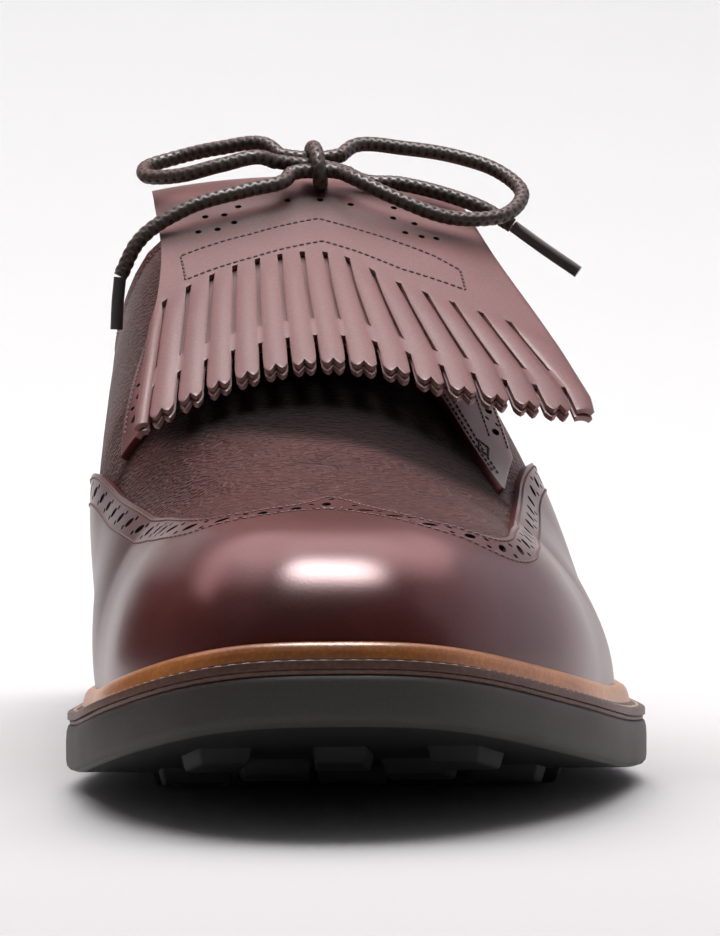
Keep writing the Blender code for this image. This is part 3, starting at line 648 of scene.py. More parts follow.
def leather_group():
    """Leather: mottled colour, pebbles whose valleys are darkened with painted shade, and a little pore
    noise.
    """
    group = bpy.data.node_groups.new("leather", "ShaderNodeTree")
    for label, (kind, value) in LEATHER_INPUTS.items():
        group.interface.new_socket(label, in_out="INPUT", socket_type=kind).default_value = value
    for label, kind in LEATHER_OUTPUTS.items():
        group.interface.new_socket(label, in_out="OUTPUT", socket_type=kind)
    given = group.nodes.new("NodeGroupInput").outputs
    spot = add_node(group, "TexCoord").outputs["Object"]
    mottle = add_node(group, "TexNoise", {
        "Vector": spot, "Scale": given["Mottle"], "Detail": 3.0,
    }).outputs["Fac"]
    bend = add_node(group, "TexNoise", {"Vector": spot, "Scale": BEND_SCALE}).outputs["Color"]
    bent = add_node(group, "VectorMath", {
        0: bend, 1: [BEND_REACH] * 3, 2: spot,
    }, operation="MULTIPLY_ADD").outputs[0]
    drawn = add_node(group, "VectorMath", {0: bent, 1: given["Stretch"]}, operation="MULTIPLY").outputs[0]
    cells = add_node(group, "TexVoronoi", {
        "Vector": drawn, "Scale": given["Grain"], "Smoothness": 0.35,
    }, feature="SMOOTH_F1")
    hollow = add_node(group, "MapRange", {
        "Value": cells.outputs["Distance"], "From Min": 0.18, "From Max": 0.62,
    }, interpolation_type="SMOOTHSTEP").outputs["Result"]
    mottle_and_painted_shade = add_node(group, "MapRange", {"Value": mottle, "From Min": 0.35, "From Max": 0.7}).outputs["Result"]
    cloud = mixed(group, mottle_and_painted_shade, given["Colour"], given["Shade"])
    # Painted shade: the valleys between the pebbles are darkened towards the valley shade colour.
    deep = add_node(group, "Math", {0: hollow, 1: given["Valley"]}, operation="MULTIPLY").outputs["Value"]
    colour = mixed(group, deep, cloud, VALLEY_SHADE, blend_type="MULTIPLY")
    rough = add_node(group, "MapRange", {
        "Value": mottle, "To Min": given["Low Roughness"], "To Max": given["High Roughness"],
    }).outputs["Result"]
    pores = add_node(group, "TexNoise", {"Vector": spot, "Scale": PORE_SCALE}).outputs["Fac"]
    rise = add_node(group, "Math", {0: 1.0, 1: hollow}, operation="SUBTRACT").outputs["Value"]
    height = add_node(group, "Math", {
        0: pores, 1: PORE_HEIGHT, 2: rise,
    }, operation="MULTIPLY_ADD").outputs["Value"]
    end = group.nodes.new("NodeGroupOutput").inputs
    for label, socket in (("Color", colour), ("Roughness", rough), ("Height", height)):
        group.links.new(socket, end[label])
    return group


LEATHER = leather_group()


def plain(name, colour, roughness, metallic=0.0, coat=0.0):
    material = bpy.data.materials.new(name)
    material.use_nodes = True
    shader = material.node_tree.nodes["Principled BSDF"].inputs
    shader["Base Color"].default_value = (*colour, 1.0)
    shader["Roughness"].default_value = roughness
    shader["Metallic"].default_value = metallic
    shader["Coat Weight"].default_value = coat
    return material


def leather(name, colour, shade, grain, valley, roughness, bump, coat=0.0, mottle=30.0, stretch=(1, 1, 1),
            tint=(1, 1, 1), shine=0.5):
    material = plain(name, colour, roughness[0], coat=coat)
    tree = material.node_tree
    look = add_node(tree, "Group", node_tree=LEATHER, inputs={
        "Colour": (*colour, 1), "Shade": (*shade, 1), "Mottle": mottle, "Grain": grain, "Stretch": stretch,
        "Valley": valley, "Low Roughness": roughness[0], "High Roughness": roughness[1],
    }).outputs
    relief = add_node(tree, "Bump", {"Strength": bump[0], "Distance": bump[1] * MM, "Height": look["Height"]})
    shader = tree.nodes["Principled BSDF"].inputs
    shader["Coat Roughness"].default_value = COAT_ROUGHNESS
    shader["Specular Tint"].default_value = (*tint, 1)
    shader["Specular IOR Level"].default_value = shine
    tree.links.new(look["Color"], shader["Base Color"])
    tree.links.new(look["Roughness"], shader["Roughness"])
    tree.links.new(relief.outputs["Normal"], shader["Normal"])
    return material


POLISHED = leather("polished_leather", (0.148, 0.034, 0.029), (0.084, 0.019, 0.016), 1500, 0.15,
                   (0.26, 0.36), (0.1, 0.05), coat=0.3, tint=(1, 0.66, 0.68))
GRAINED = leather("pebbled_leather", (0.19, 0.078, 0.067), (0.115, 0.046, 0.039), 1150, 0.9,
                  (0.34, 0.5), (1.0, 0.45), shine=0.18, stretch=(0.42, 1.1, 1.1),
                  tint=(1, 0.78, 0.74))
SATIN = leather("kiltie_leather", (0.26, 0.094, 0.08), (0.2, 0.07, 0.06), 1500, 0.2,
                (0.36, 0.5), (0.12, 0.05), coat=0.05)
CUT = leather("cut_leather", (0.5, 0.28, 0.25), (0.4, 0.21, 0.19), 1500, 0.2, (0.55, 0.7), (0.12, 0.05))
LINING = leather("lining_leather", (0.3, 0.17, 0.09), (0.22, 0.12, 0.06), 1300, 0.2, (0.5, 0.65),
                 (0.15, 0.06))
INSOLE = leather("insole_leather", (0.34, 0.2, 0.11), (0.25, 0.14, 0.07), 1300, 0.2, (0.45, 0.6),
                 (0.12, 0.06))
TAN = leather("welt_leather", (0.78, 0.28, 0.05), (0.55, 0.17, 0.03), 1100, 0.25, (0.3, 0.45), (0.15, 0.06),
              coat=0.25, mottle=60.0)
EDGE = leather("edge_leather", (0.17, 0.075, 0.052), (0.11, 0.05, 0.034), 900, 0.4, (0.4, 0.55), (0.2, 0.08))
WALL_RUBBER = leather("rubber_wall", (0.058, 0.051, 0.046), (0.04, 0.035, 0.031), 1700, 0.2, (0.5, 0.7),
                      (0.1, 0.05))
# Painted shade: the tread rubber is a darker copy of the wall rubber for the sole's shaded underside and
# studs.
SHADED_TREAD_RUBBER = leather("rubber_tread_painted_shade", (0.009, 0.009, 0.008), (0.006, 0.006, 0.0055), 1700, 0.2, (0.6, 0.75),
                       (0.1, 0.05))
# Painted highlight: the rim rubber is a lighter copy of the wall rubber for the bevel along the sole's lower
# edge.
HIGHLIGHT_RIM_RUBBER = leather("rubber_rim_painted_highlight", (0.07, 0.068, 0.06), (0.05, 0.048, 0.043), 1700, 0.2, (0.4, 0.55),
                     (0.1, 0.05))
CORD = leather("waxed_cord", (0.13, 0.078, 0.052), (0.09, 0.053, 0.035), 1500, 0.3, (0.26, 0.38), (0.1, 0.04))


def shaded(material, dark):
    """Paint shade into a material: darken and dull it where the painted shade value on its surface is low."""
    tree = material.node_tree
    shader = tree.nodes["Principled BSDF"].inputs
    mottle_and_painted_shade = add_node(tree, "Attribute", attribute_name="mottle_and_painted_shade").outputs["Fac"]
    colour = mixed(tree, mottle_and_painted_shade, (*dark, 1), shader["Base Color"].links[0].from_socket)
    rough = add_node(tree, "Mix", {0: mottle_and_painted_shade, 2: DULL, 3: shader["Roughness"].links[0].from_socket}).outputs[0]
    tree.links.new(colour, shader["Base Color"])
    tree.links.new(rough, shader["Roughness"])


# Painted shade: the cord is darkened and dulled in the valleys between its braid's strands.
shaded(CORD, (0.012, 0.009, 0.007))
# Painted shade: the grained leather is darkened and dulled under the kiltie, where its shadow falls on the
# vamp and the tongue.
shaded(GRAINED, (0.006, 0.004, 0.004))
TIP = plain("lace_tip", (0.1, 0.085, 0.09), 0.3, coat=0.3)
THREAD = plain("upper_thread", (0.26, 0.16, 0.145), 0.6)
DARK_THREAD = plain("kiltie_thread", (0.04, 0.022, 0.018), 0.6)
WELT_THREAD = plain("welt_thread", (0.62, 0.5, 0.36), 0.6)
# Painted shade: a near-black for the floors of punched holes.
HOLE_SHADE = plain("painted_hole_shade", (0.008, 0.005, 0.005), 0.8)
BRASS = plain("eyelet_metal", (0.16, 0.1, 0.06), 0.35, metallic=1.0)

# Camera: where the photo was taken from, turned to this shoe. The turn is a direction in the photo's
# pixels: right of its middle, away by the focal length, and up.

CAMERA_PLACE = (-0.0707, -0.863, 0.091)
CAMERA_TURN = (169.5, 1912.0, -73.0)
CAMERA_LENS = 161.5

camera_data = bpy.data.cameras.new("camera")
camera = bpy.data.objects.new("camera", camera_data)
bpy.context.scene.collection.objects.link(camera)
camera.location = CAMERA_PLACE
camera.rotation_mode = "QUATERNION"
camera.rotation_quaternion = Vector(CAMERA_TURN).to_track_quat("-Z", "Y")
camera_data.lens = CAMERA_LENS
bpy.context.scene.camera = camera

# Lace cords, from the knot outwards, as along, across and up

LOOP_MEDIAL = [
    (127.05, -9.0, 123.06), (124, -12, 125.6), (120.5, -22, 125.0), (118, -31, 123.0), (121, -37.4, 120.8),
    (127, -37.4, 118.8), (131.5, -31, 118.8), (133.6, -22, 121.0), (133, -13.5, 122.6),
    (131.77, -10.5, 121.7),
]
LOOP_LATERAL = [
    (127.28, 3.21, 123.06), (124, 6.5, 125.4), (122.5, 18, 125.0), (123, 28, 123.4), (126, 37, 120.2),
    (133, 41.4, 115.2), (140, 37, 110.6), (142.5, 26, 109.8), (140.5, 13, 114.4), (136.5, 5, 118.5),
    (133.65, 2.67, 119.74),
]
END_MEDIAL = [
    (134.09, -7.61, 119.2), (137, -9, 117.7), (140, -17, 115.6), (142, -30, 111.6), (143, -40, 104.6),
    (143.2, -43.6, 97.6),
]
END_LATERAL = [
    (130.35, 4.64, 119.47), (130.5, 7, 118.2), (131.5, 16, 117.2), (133, 25, 115.0), (134.5, 33, 112.0),
    (135.6, 39, 108.4),
]
AGLET_MEDIAL = [(143.2, -43.65, 97.4), (143.4, -44.2, 91.5), (143.4, -44.4, 86.6)]
AGLET_LATERAL = [(135.65, 39.2, 108.25), (137.5, 46, 103.2), (139, 52.6, 98.6)]
ROUTE_SAMPLES = 24
TUBE_SIDES = 20
TUBE_STEP = 0.3
BRAID_TURN = 1.7
BRAID_DEPTH = 0.2


def smooth_route(points, spacing):
    """Even steps along a smooth curve through listed points."""
    points = np.array(points, dtype=float)
    run = run_of(points)
    slopes = np.gradient(points, run, axis=0)
    fine = []
    for row, step in enumerate(np.diff(run)):
        for t in np.linspace(0, 1, ROUTE_SAMPLES, endpoint=False):
            fine.append(blend(t, step, points, slopes, row))
    fine.append(points[-1])
    length = run_of(fine)
    count = max(3, round(length[-1] / spacing) + 1)
    return at_run(length, fine, np.linspace(0, length[-1], count))


def ring_frames(route):
    """Two directions across a route at each of its points, carried along without twist."""
    tangents = np.gradient(route, axis=0)
    tangents = tangents / np.linalg.norm(tangents, axis=1, keepdims=True)
    side = np.cross(tangents[0], [0.3, 0.2, 1.0])
    frames = []
    for tangent in tangents:
        side = side - tangent * np.dot(side, tangent)
        side = side / np.linalg.norm(side)
        frames.append((side, np.cross(tangent, side)))
    return frames


def strand(row, turn):
    """How far a cord's crossing strands rise at a step along it and a turn round it."""
    twist = row * TUBE_STEP * BRAID_TURN
    return np.maximum(np.abs(np.cos(2 * turn + twist)), np.abs(np.cos(2 * turn - twist)))


def tube(points, diameter, braid=BRAID_DEPTH):
    """A cord's surface along a route, with the relief of its braid."""
    route = smooth_route(points, TUBE_STEP)
    frames = ring_frames(route)
    count = len(route) - 1
    turn = np.linspace(0, 2 * math.pi, TUBE_SIDES + 1)

    def column(u):
        row = round(u * count)
        left, up = frames[row]
        radius = diameter / 2 * (1 - braid + braid * strand(row, turn))
        return route[row] + np.outer(radius * np.cos(turn), left) + np.outer(radius * np.sin(turn), up)

    # Painted shade: the braid's valleys get a low value, which darkens and dulls the cord there.
    bm = moved_grid(count, TUBE_SIDES, column, paint=lambda row, side, point: strand(row, turn[side]) ** 3)
    bmesh.ops.holes_fill(bm, edges=[edge for edge in bm.edges if edge.is_boundary], sides=0)
    bmesh.ops.recalc_face_normals(bm, faces=bm.faces)
    return bm


def cord(name, points, diameter, node, pieces):
    item = object_from(name, tube(points, diameter), [CORD], sharp=70)
    finish_piece(item, [node])
    path = [place(point) for point in smooth_route(points, 2.0)]
    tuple(path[0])
    return item


def aglet(name, points, node):
    item = object_from(name, tube(points, AGLET_DIAMETER, braid=0.0), [TIP], sharp=50)
    return finish_piece(item, [node])


KNOT_MIDDLE = (130.3, -2.8, 121.0)
KNOT_AXES = ((-4.3, 2.6), (1.75, 2.9))
KNOT_SPAN = 2.6
KNOT_PASSES = [
    [(126.6, -9.6, 123.4), (127.6, -6, 122.8), (127.8, -2.8, 122.6), (127.6, 0.5, 122.8),
     (126.8, 3.8, 123.4)],
    [(131.6, -11.0, 121.9), (130.8, -6, 121.3), (130.5, -2.8, 121.0), (130.3, 0.5, 120.6),
     (130.4, 5.2, 119.3)],
    [(134.3, -8.2, 119.0), (133.6, -5.5, 119.7), (133.2, -2.8, 119.8), (133.4, 0.5, 119.9),
     (133.9, 3.2, 119.5)],
]
KNOT_TURN = (-0.32 * math.pi, 1.56 * math.pi)


def knot_wrap():
    """One slanting turn of lace over the passes of the bow."""
    points = []
    for angle in np.linspace(*KNOT_TURN, 30):
        long, short = math.cos(angle), math.sin(angle)
        points.append((KNOT_MIDDLE[0] + KNOT_AXES[0][0] * long + KNOT_AXES[1][0] * short,
                       KNOT_MIDDLE[1] + KNOT_SPAN * angle / (2 * math.pi),
                       KNOT_MIDDLE[2] + KNOT_AXES[0][1] * long + KNOT_AXES[1][1] * short))
    return points


def gather(parts):
    """Several meshes as one."""
    bm = bmesh.new()
    for part in parts:
        mesh = bpy.data.meshes.new("gathered")
        part.to_mesh(mesh)
        part.free()
        bm.from_mesh(mesh)
        bpy.data.meshes.remove(mesh)
    return bm


def knot():
    """The bow's knot: the laces that pass through it and one turn over them."""
    bm = gather(tube(points, LACE_DIAMETER) for points in (*KNOT_PASSES, knot_wrap()))
    return finish_piece(object_from("bow_knot", bm, [CORD], sharp=70), ["lace_knot"])


bow_knot = knot()
cord("bow_loop_medial", LOOP_MEDIAL, LACE_DIAMETER, "lace_loop_medial", [])
cord("bow_loop_lateral", LOOP_LATERAL, LACE_DIAMETER, "lace_loop_lateral", [])
cord("bow_end_medial", END_MEDIAL, LACE_DIAMETER, "lace_end_medial",
     [aglet("lace_tip_medial", AGLET_MEDIAL, "aglet_medial"), bow_knot])
cord("bow_end_lateral", END_LATERAL, LACE_DIAMETER, "lace_end_lateral",
     [aglet("lace_tip_lateral", AGLET_LATERAL, "aglet_lateral")])

# Lacing under the kiltie, run through its eyelets

EYELETS = [156.0, 144.0, 132.0, 120.0]
EYELET_GAP = 19.0
EYELET_RADIUS = 2.5
EYELET_ROLL = 0.5
EYELET_LIFT = 0.15
BAR_LIFT = 3.2
LACE_LIFTS = {1: 3.6, -1: 4.9}
LACE_DIVE = -2.6
DIVE_SHARE = 0.16
BAR_POINTS = 13


def lace_bar(start, stop, lift):
    """One pass of lace over the throat, which dives through an eyelet at each end."""
    points = []
    for t in np.linspace(0, 1, BAR_POINTS):
        along = start[0] + (stop[0] - start[0]) * t
        reach = start[1] + (stop[1] - start[1]) * t
        way = way_at(along, side_of(reach))
        height = LACE_DIVE + (lift - LACE_DIVE) * ease(min(t, 1 - t) / DIVE_SHARE)
        points.append(last_points(way, [share_at_gap(way, abs(reach))], height)[0])
    return tube(points, LACE_DIAMETER)


def lacing():
    bars = [((EYELETS[0], -EYELET_GAP), (EYELETS[0], EYELET_GAP), BAR_LIFT)]
    for low, high in zip(EYELETS, EYELETS[1:]):
        for side, lift in LACE_LIFTS.items():
            bars.append(((low, side * EYELET_GAP), (high, -side * EYELET_GAP), lift))
    bm = gather(lace_bar(*bar) for bar in bars)
    return finish_piece(object_from("lacing", bm, [CORD], sharp=70), ["lace_crossings"])


def eyelet(along, side):
    """A rolled metal ring in a facing."""
    way = way_at(along, side)
    point, tangent, normal = frame_at(last_face, way, share_at_gap(way, EYELET_GAP))
    upright = Matrix.Translation((EYELET_RADIUS * MM, 0, 0)) @ Matrix.Rotation(math.pi / 2, 4, "X")
    bm = bmesh.new()
    bmesh.ops.create_circle(bm, segments=8, radius=EYELET_ROLL * MM, matrix=upright)
    bmesh.ops.spin(bm, geom=bm.verts[:] + bm.edges[:], axis=(0, 0, 1), cent=(0, 0, 0), angle=2 * math.pi,
                   steps=20, use_merge=True)
    matrix = seat(point + normal * (OVERLAY + EYELET_LIFT), tangent, normal)
    bmesh.ops.transform(bm, matrix=matrix, verts=bm.verts)
    bmesh.ops.recalc_face_normals(bm, faces=bm.faces)
    return bm


def eyelets():
    bm = gather(eyelet(along, side) for along in EYELETS for side in (-1, 1))
    return finish_piece(object_from("eyelets", bm, [BRASS], sharp=80), [])


lacing()
eyelets()

# Upper

UPPER_COLUMNS = 340
UPPER_ROWS = 36
# Painted shade cast by the kiltie on the vamp and the tongue: where it ends, how it fades and how deep it
# goes.
SHADE_ACROSS = (-42, -32, -15, -3, 10, 18, 26, 34)
SHADE_ALONG = (188, 198, 206, 210, 215, 216, 211, 202)
SHADE_EDGE = (4.0, 9.0)
SHADE_SEAM = 0.04
SHADE_DEPTH = 0.94
TONGUE_SHADE = (0.8, 12.0)


def upper():
    def column(u):
        way = 2 * u - 1
        return last_points(way, mouth_share(way) * np.linspace(0, 1, UPPER_ROWS + 1))

    # Painted shade: the vamp is darkened behind a line under the kiltie's fringe, and beside the facings only
    # inside their seams.
    def paint(column, row, point):
        way = 2 * column / UPPER_COLUMNS - 1
        along = station(way)
        if along < FACING_TOP:
            return 1.0
        edge = np.interp(point[1], SHADE_ACROSS, SHADE_ALONG) + SHADE_EDGE[0]
        under = ease((edge - point[0]) / SHADE_EDGE[1])
        if along < TAB_ENDS[side_of(way)]:
            under *= ease((mouth_share(way) * row / UPPER_ROWS - seam_share(way)) / SHADE_SEAM + 0.5)
        return 1.0 - SHADE_DEPTH * under

    bm = moved_grid(UPPER_COLUMNS, UPPER_ROWS, column, paint=paint)
    item = object_from("grained_upper", bm, [GRAINED, LINING])
    thicken(item, WALL, -1.0, inner=1)
    soften(item, 0.6)
    return finish_piece(settle(item), ["upper"])


upper()

# Panels on the upper, with their rows of brogue holes and stitches

FOOT_TUCK = 2.4
BAND_STITCH = (0.9, 6.0)
BAND_MIDDLE = 3.4
BAND_PITCH = 7.4
OVAL = (3.2, 1.7)
OVAL_TURN = math.radians(38)
TACK = (0.0045, 0.013)
DOT = (1.1, 1.1)
DOT_ASIDE = 1.35
STITCH = (1.15, 0.55, 0.42)
STITCH_PITCH = 1.5
STITCH_LIFT = 0.1
PANEL_LIFT = 0.04
FLOOR_LIFT = 0.12
THROAT_STITCH = (-1.1, -2.7)
COLLAR_STITCH = -3.0
TACK_BACK = 14.0
TACK_DROP = 0.045
TACK_PITCH = 0.9
WING_MARGIN = 0.012
COUNTER_MARGIN = 0.006
THROAT_MARGIN = 0.012


def route_along(share, start, stop, count=300):
    return [(way, share(way)) for way in np.linspace(start, stop, count)]


def band(face, route, inside, lift):
    """Holes and stitch places of a brogue band inside a panel's edge."""
    middle = aside(face, route, inside * BAND_MIDDLE)
    holes = [(matrix, *OVAL) for matrix in seats(face, middle, BAND_PITCH, lift, turn=OVAL_TURN * -inside)]
    for shift in (-DOT_ASIDE, DOT_ASIDE):
        row = aside(face, route, inside * (BAND_MIDDLE + shift))
        holes += [(matrix, *DOT) for matrix in seats(face, row, BAND_PITCH, lift, phase=0.5)]
    sewn = []
    for distance in BAND_STITCH:
        sewn += seats(face, aside(face, route, inside * distance), STITCH_PITCH, lift + STITCH_LIFT)
    return holes, sewn


def lowered(holes, depth):
    drop = Matrix.Translation((0, 0, -depth * MM))
    return [(matrix @ drop, length, width) for matrix, length, width in holes]


def panel(name, node, low, high, ways, columns, rows, material, edges):
    """A leather panel on the last between two shares of each rib, with brogue bands on its edges."""
    def column(u):
        way = ways[0] + (ways[1] - ways[0]) * u
        return last_points(way, np.linspace(low(way), high(way), rows + 1), PANEL_LIFT)

    item = object_from(name, moved_grid(columns, rows, column), [material, HOLE_SHADE])
    thicken(item, OVERLAY, 1.0)
    soften(item, 0.3)
    settle(item)
    finish_piece(item, [node])
    holes, sewn = [], []
    for route, inside in edges:
        more_holes, more_sewn = band(last_face, route, inside, OVERLAY)
        holes += more_holes
        sewn += more_sewn
    holes = apart(holes)
    punch(item, holes, HOLE_SHADE)
    shaded_hole_floors(name + "_holes", lowered(holes, OVERLAY - FLOOR_LIFT), HOLE_SHADE)
    stitches(name + "_stitches", sewn, STITCH, THREAD)
    return item


def panel_foot(way):
    """Where a panel ends behind the welt's rib."""
    return over_feather(way, FOOT_TUCK)


def wing():
    ends = (WING[0].way, WING[-1].way)
    route = route_along(wing_share, ends[0] + WING_MARGIN, ends[1] - WING_MARGIN, 420)
    panel("wing_tip", "wing_cap", panel_foot, wing_share, ends, 300, 40, POLISHED, [(route, -1)])


def heel_counter():
    reach = way_at(COUNTER[-1].along, 1)
    ends = (reach, 2 - reach)
    route = route_along(counter_share, ends[0] + COUNTER_MARGIN, ends[1] - COUNTER_MARGIN)
    panel("heel_counter", "counter", panel_foot, counter_share, ends, 180, 30, POLISHED, [(route, -1)])


def facing(name, node, side):
    ends = sorted((way_at(FACING[side][0].along, side), way_at(TAB_ENDS[side], side)))
    cut = way_at(min(TAB_ENDS[side], TAB_CUT) - 2, side)
    seam = route_along(seam_share, *sorted((cut, way_at(FACING[side][0].along + 1, side))))
    panel(name, node, seam_share, throat_share, ends, 130, 18, POLISHED, [(seam, 1)])
    throat = route_along(throat_share, ends[0] + THROAT_MARGIN, ends[1] - THROAT_MARGIN)
    sewn = []
    for distance in THROAT_STITCH:
        sewn += seats(last_face, aside(last_face, throat, distance), STITCH_PITCH, OVERLAY + STITCH_LIFT)
    way = way_at(TAB_ENDS[side] - TACK_BACK, side)
    middle = (way, throat_share(way) - TACK_DROP)
    square = [(middle[0] + TACK[0] * u, middle[1] + TACK[1] * v)
              for u, v in ((-1, -1), (1, -1), (1, 1), (-1, 1), (-1, -1))]
    for first, second in zip(square, square[1:]):
        leg = [tuple(np.array(first) * (1 - t) + np.array(second) * t) for t in np.linspace(0, 1, 8)]
        sewn += seats(last_face, leg, TACK_PITCH, OVERLAY + STITCH_LIFT)
    stitches(name + "_throat_stitches", sewn, STITCH, DARK_THREAD)


wing()
heel_counter()
facing("medial_facing", "facing_medial", -1)
facing("lateral_facing", "facing_lateral", 1)


def collar_stitches():
    ends = way_at(CORNER_BACK, 1)
    route = route_along(mouth_share, ends, 2 - ends)
    sewn = seats(last_face, aside(last_face, route, COLLAR_STITCH), STITCH_PITCH, STITCH_LIFT)
    stitches("collar_stitches", sewn, STITCH, THREAD)


collar_stitches()


def tongue():
    rows = 24

    def column(u):
        along = TONGUE_PROFILE[0].along + (TONGUE_PROFILE[-1].along - TONGUE_PROFILE[0].along) * u
        points = []
        for row in range(rows + 1):
            reach = 2 * row / rows - 1
            way = way_at(along, side_of(reach))
            share = share_at_gap(way, tongue_half(along) * abs(reach))
            points.append(last_points(way, [share], -WALL - tongue_clear(along))[0])
        return points

    # Painted shade: the tongue is darkened forward of the facings' top, under the kiltie.
    def paint(column, row, point):
        return 1 - TONGUE_SHADE[0] * ease((point[0] - FACING_TOP) / TONGUE_SHADE[1])

    bm = moved_grid(60, rows, column, paint=paint)
    item = object_from("tongue_leather", bm, [GRAINED, LINING])
    thicken(item, TONGUE, -1.0, inner=1)
    soften(item, 0.6)
    return finish_piece(settle(item), ["tongue"])


tongue()

# Kiltie: two plies with long slits, short slits at the fringe and pinked teeth

SLITS = 15
SLIT_ENDS = (-0.95, 0.92)
SLIT_FAN = 0.17
SLIT = 1.5
STRIP_CELLS = 8
ROW_MARKS = (0.0, 0.6, 0.845, 0.908, 1.0)
KILTIE_PLY = 1.1
UPPER_PLY = 1.3
TOOTH = (1.5, -1.0)
TOOTH_RUN = (0.95, 0.05)
FLUTE = 0.4
FLUTE_RUN = (0.02, 0.12)
FRINGE_RUN = (85.0, 50.0)
FAN_LENGTH = 0.35
KILTIE_HOLE = 1.4
KILTIE_STITCH_LIFT = 0.05
KILTIE_ROWS = np.concatenate([
    np.linspace(ROW_MARKS[0], ROW_MARKS[1], 30, endpoint=False),
    np.linspace(ROW_MARKS[1], ROW_MARKS[2], 16, endpoint=False),
    np.linspace(ROW_MARKS[2], ROW_MARKS[3], 5, endpoint=False), np.linspace(ROW_MARKS[3], ROW_MARKS[4], 9),
])
SLIT_SHARE = 2 * SLIT / (KILTIE[-1].half_medial + KILTIE[-1].half_lateral)
SLIT_PLACES = np.linspace(*SLIT_ENDS, SLITS)
FringeRow = namedtuple("FringeRow", "across longer")
fringe_longer = table([FringeRow(*row) for row in (
    (-1, 0.01), (-0.5, 0.025), (0, 0.045), (0.2, 0.07), (0.35, 0.1), (0.6, 0.115), (0.8, 0.095), (1, 0.045),
)], "longer")


def slit_marks(across):
    """Where the long slits start and stop and the edge slits start, as shares of the way to the fringe."""
    start, stop, edge = ROW_MARKS[1:4]
    if across < 0:
        return start + 0.085 * across ** 2, stop + 0.02 * across ** 2, edge
    outer = ease(across / 0.4)
    return start + 0.04 * outer + 0.12 * across ** 2, stop + 0.045 * outer, edge + 0.03 * outer


def kiltie_face(share, across):
    """A point of the kiltie's underside: share from back to fringe, across from -1 medial to 1 lateral."""
    side = "medial" if across < 0 else "lateral"
    read = {name: curve(share) for name, curve in kiltie_read.items()}
    beyond = max(share - 1.0, 0.0)
    along = read["along"] + read["run_" + side] * across * across + beyond * FRINGE_RUN[0]
    drop = read["drop_" + side] * across * across + beyond * FRINGE_RUN[1]
    return np.array([along, read["across"] + across * read["half_" + side], read["up"] - drop])


def kiltie_top(share, across):
    point, tangent, normal = frame_at(kiltie_face, share, across)
    return point + normal * (UPPER_PLY + KILTIE_PLY)


def kiltie_ply(name, lift, longer, open_slits):
    """One ply: strips that swell between the slits and end in two teeth each."""
    columns = (SLITS + 1) * (STRIP_CELLS + 1) - 1
    lefts = np.concatenate([[-1], SLIT_PLACES + SLIT_SHARE / 2])
    rights = np.concatenate([SLIT_PLACES - SLIT_SHARE / 2, [1]])

    def column(u):
        number, cell = divmod(round(u * columns), STRIP_CELLS + 1)
        part = cell / STRIP_CELLS
        fringe = lefts[number] + (rights[number] - lefts[number]) * part
        fan = np.interp(fringe, (-1, 0, SLIT_ENDS[1] + SLIT_SHARE, 1), (0, 0, SLIT_FAN, 0))
        marks = slit_marks(fringe)
        stretch = 1 + fringe_longer(fringe)
        scallop = math.sin(math.pi * ((2 * part) % 1)) if 0 < number < SLITS else 0.5
        points = []
        for row in KILTIE_ROWS:
            share = np.interp(row, ROW_MARKS, (0, *marks, 1))
            across = fringe - fan * min((1 - share) / FAN_LENGTH, 1.0)
            point, tangent, normal = frame_at(kiltie_face, share * stretch, across)
            risen = ease((row - ROW_MARKS[1] + FLUTE_RUN[0]) / FLUTE_RUN[1])
            swelling = FLUTE * (1 - (2 * part - 1) ** 2) * risen
            reach = ease((row - TOOTH_RUN[0]) / TOOTH_RUN[1]) * (TOOTH[0] * scallop + longer)
            tooth = np.array([reach, 0.0, reach * TOOTH[1] / TOOTH[0]])
            points.append(point + normal * (lift + swelling) + tooth)
        return points

    def skip(cell, row):
        middle = (KILTIE_ROWS[row] + KILTIE_ROWS[row + 1]) / 2
        in_slit = cell % (STRIP_CELLS + 1) == STRIP_CELLS
        long_slit = open_slits and ROW_MARKS[1] < middle < ROW_MARKS[2]
        return in_slit and (long_slit or middle > ROW_MARKS[3])

    bm = moved_grid(columns, len(KILTIE_ROWS) - 1, column, skip)
    bmesh.ops.reverse_faces(bm, faces=bm.faces)
    item = object_from(name, bm, [SATIN, HOLE_SHADE, CUT], sharp=50)
    thicken(item, KILTIE_PLY, 1.0, rim=2)
    soften(item, 0.15)
    return settle(item)


KILTIE_BOX = [
    (0.56, -0.88), (0.535, -0.45), (0.49, 0.0), (0.54, 0.26), (0.6, 0.59), (0.635, 0.7), (0.71, 0.66),
    (0.675, 0.37), (0.62, 0.15), (0.585, -0.01), (0.625, -0.44), (0.645, -0.84), (0.56, -0.88),
]
KILTIE_HOLES = [
    (0.49, -0.76), (0.495, -0.64), (0.48, -0.53), (0.44, -0.7), (0.445, -0.58), (0.42, -0.48), (0.465, 0.46),
    (0.475, 0.58), (0.52, 0.49), (0.525, 0.58), (0.52, 0.67), (0.42, 0.5), (0.41, -0.16), (0.41, 0.05),
    (0.425, 0.23),
]


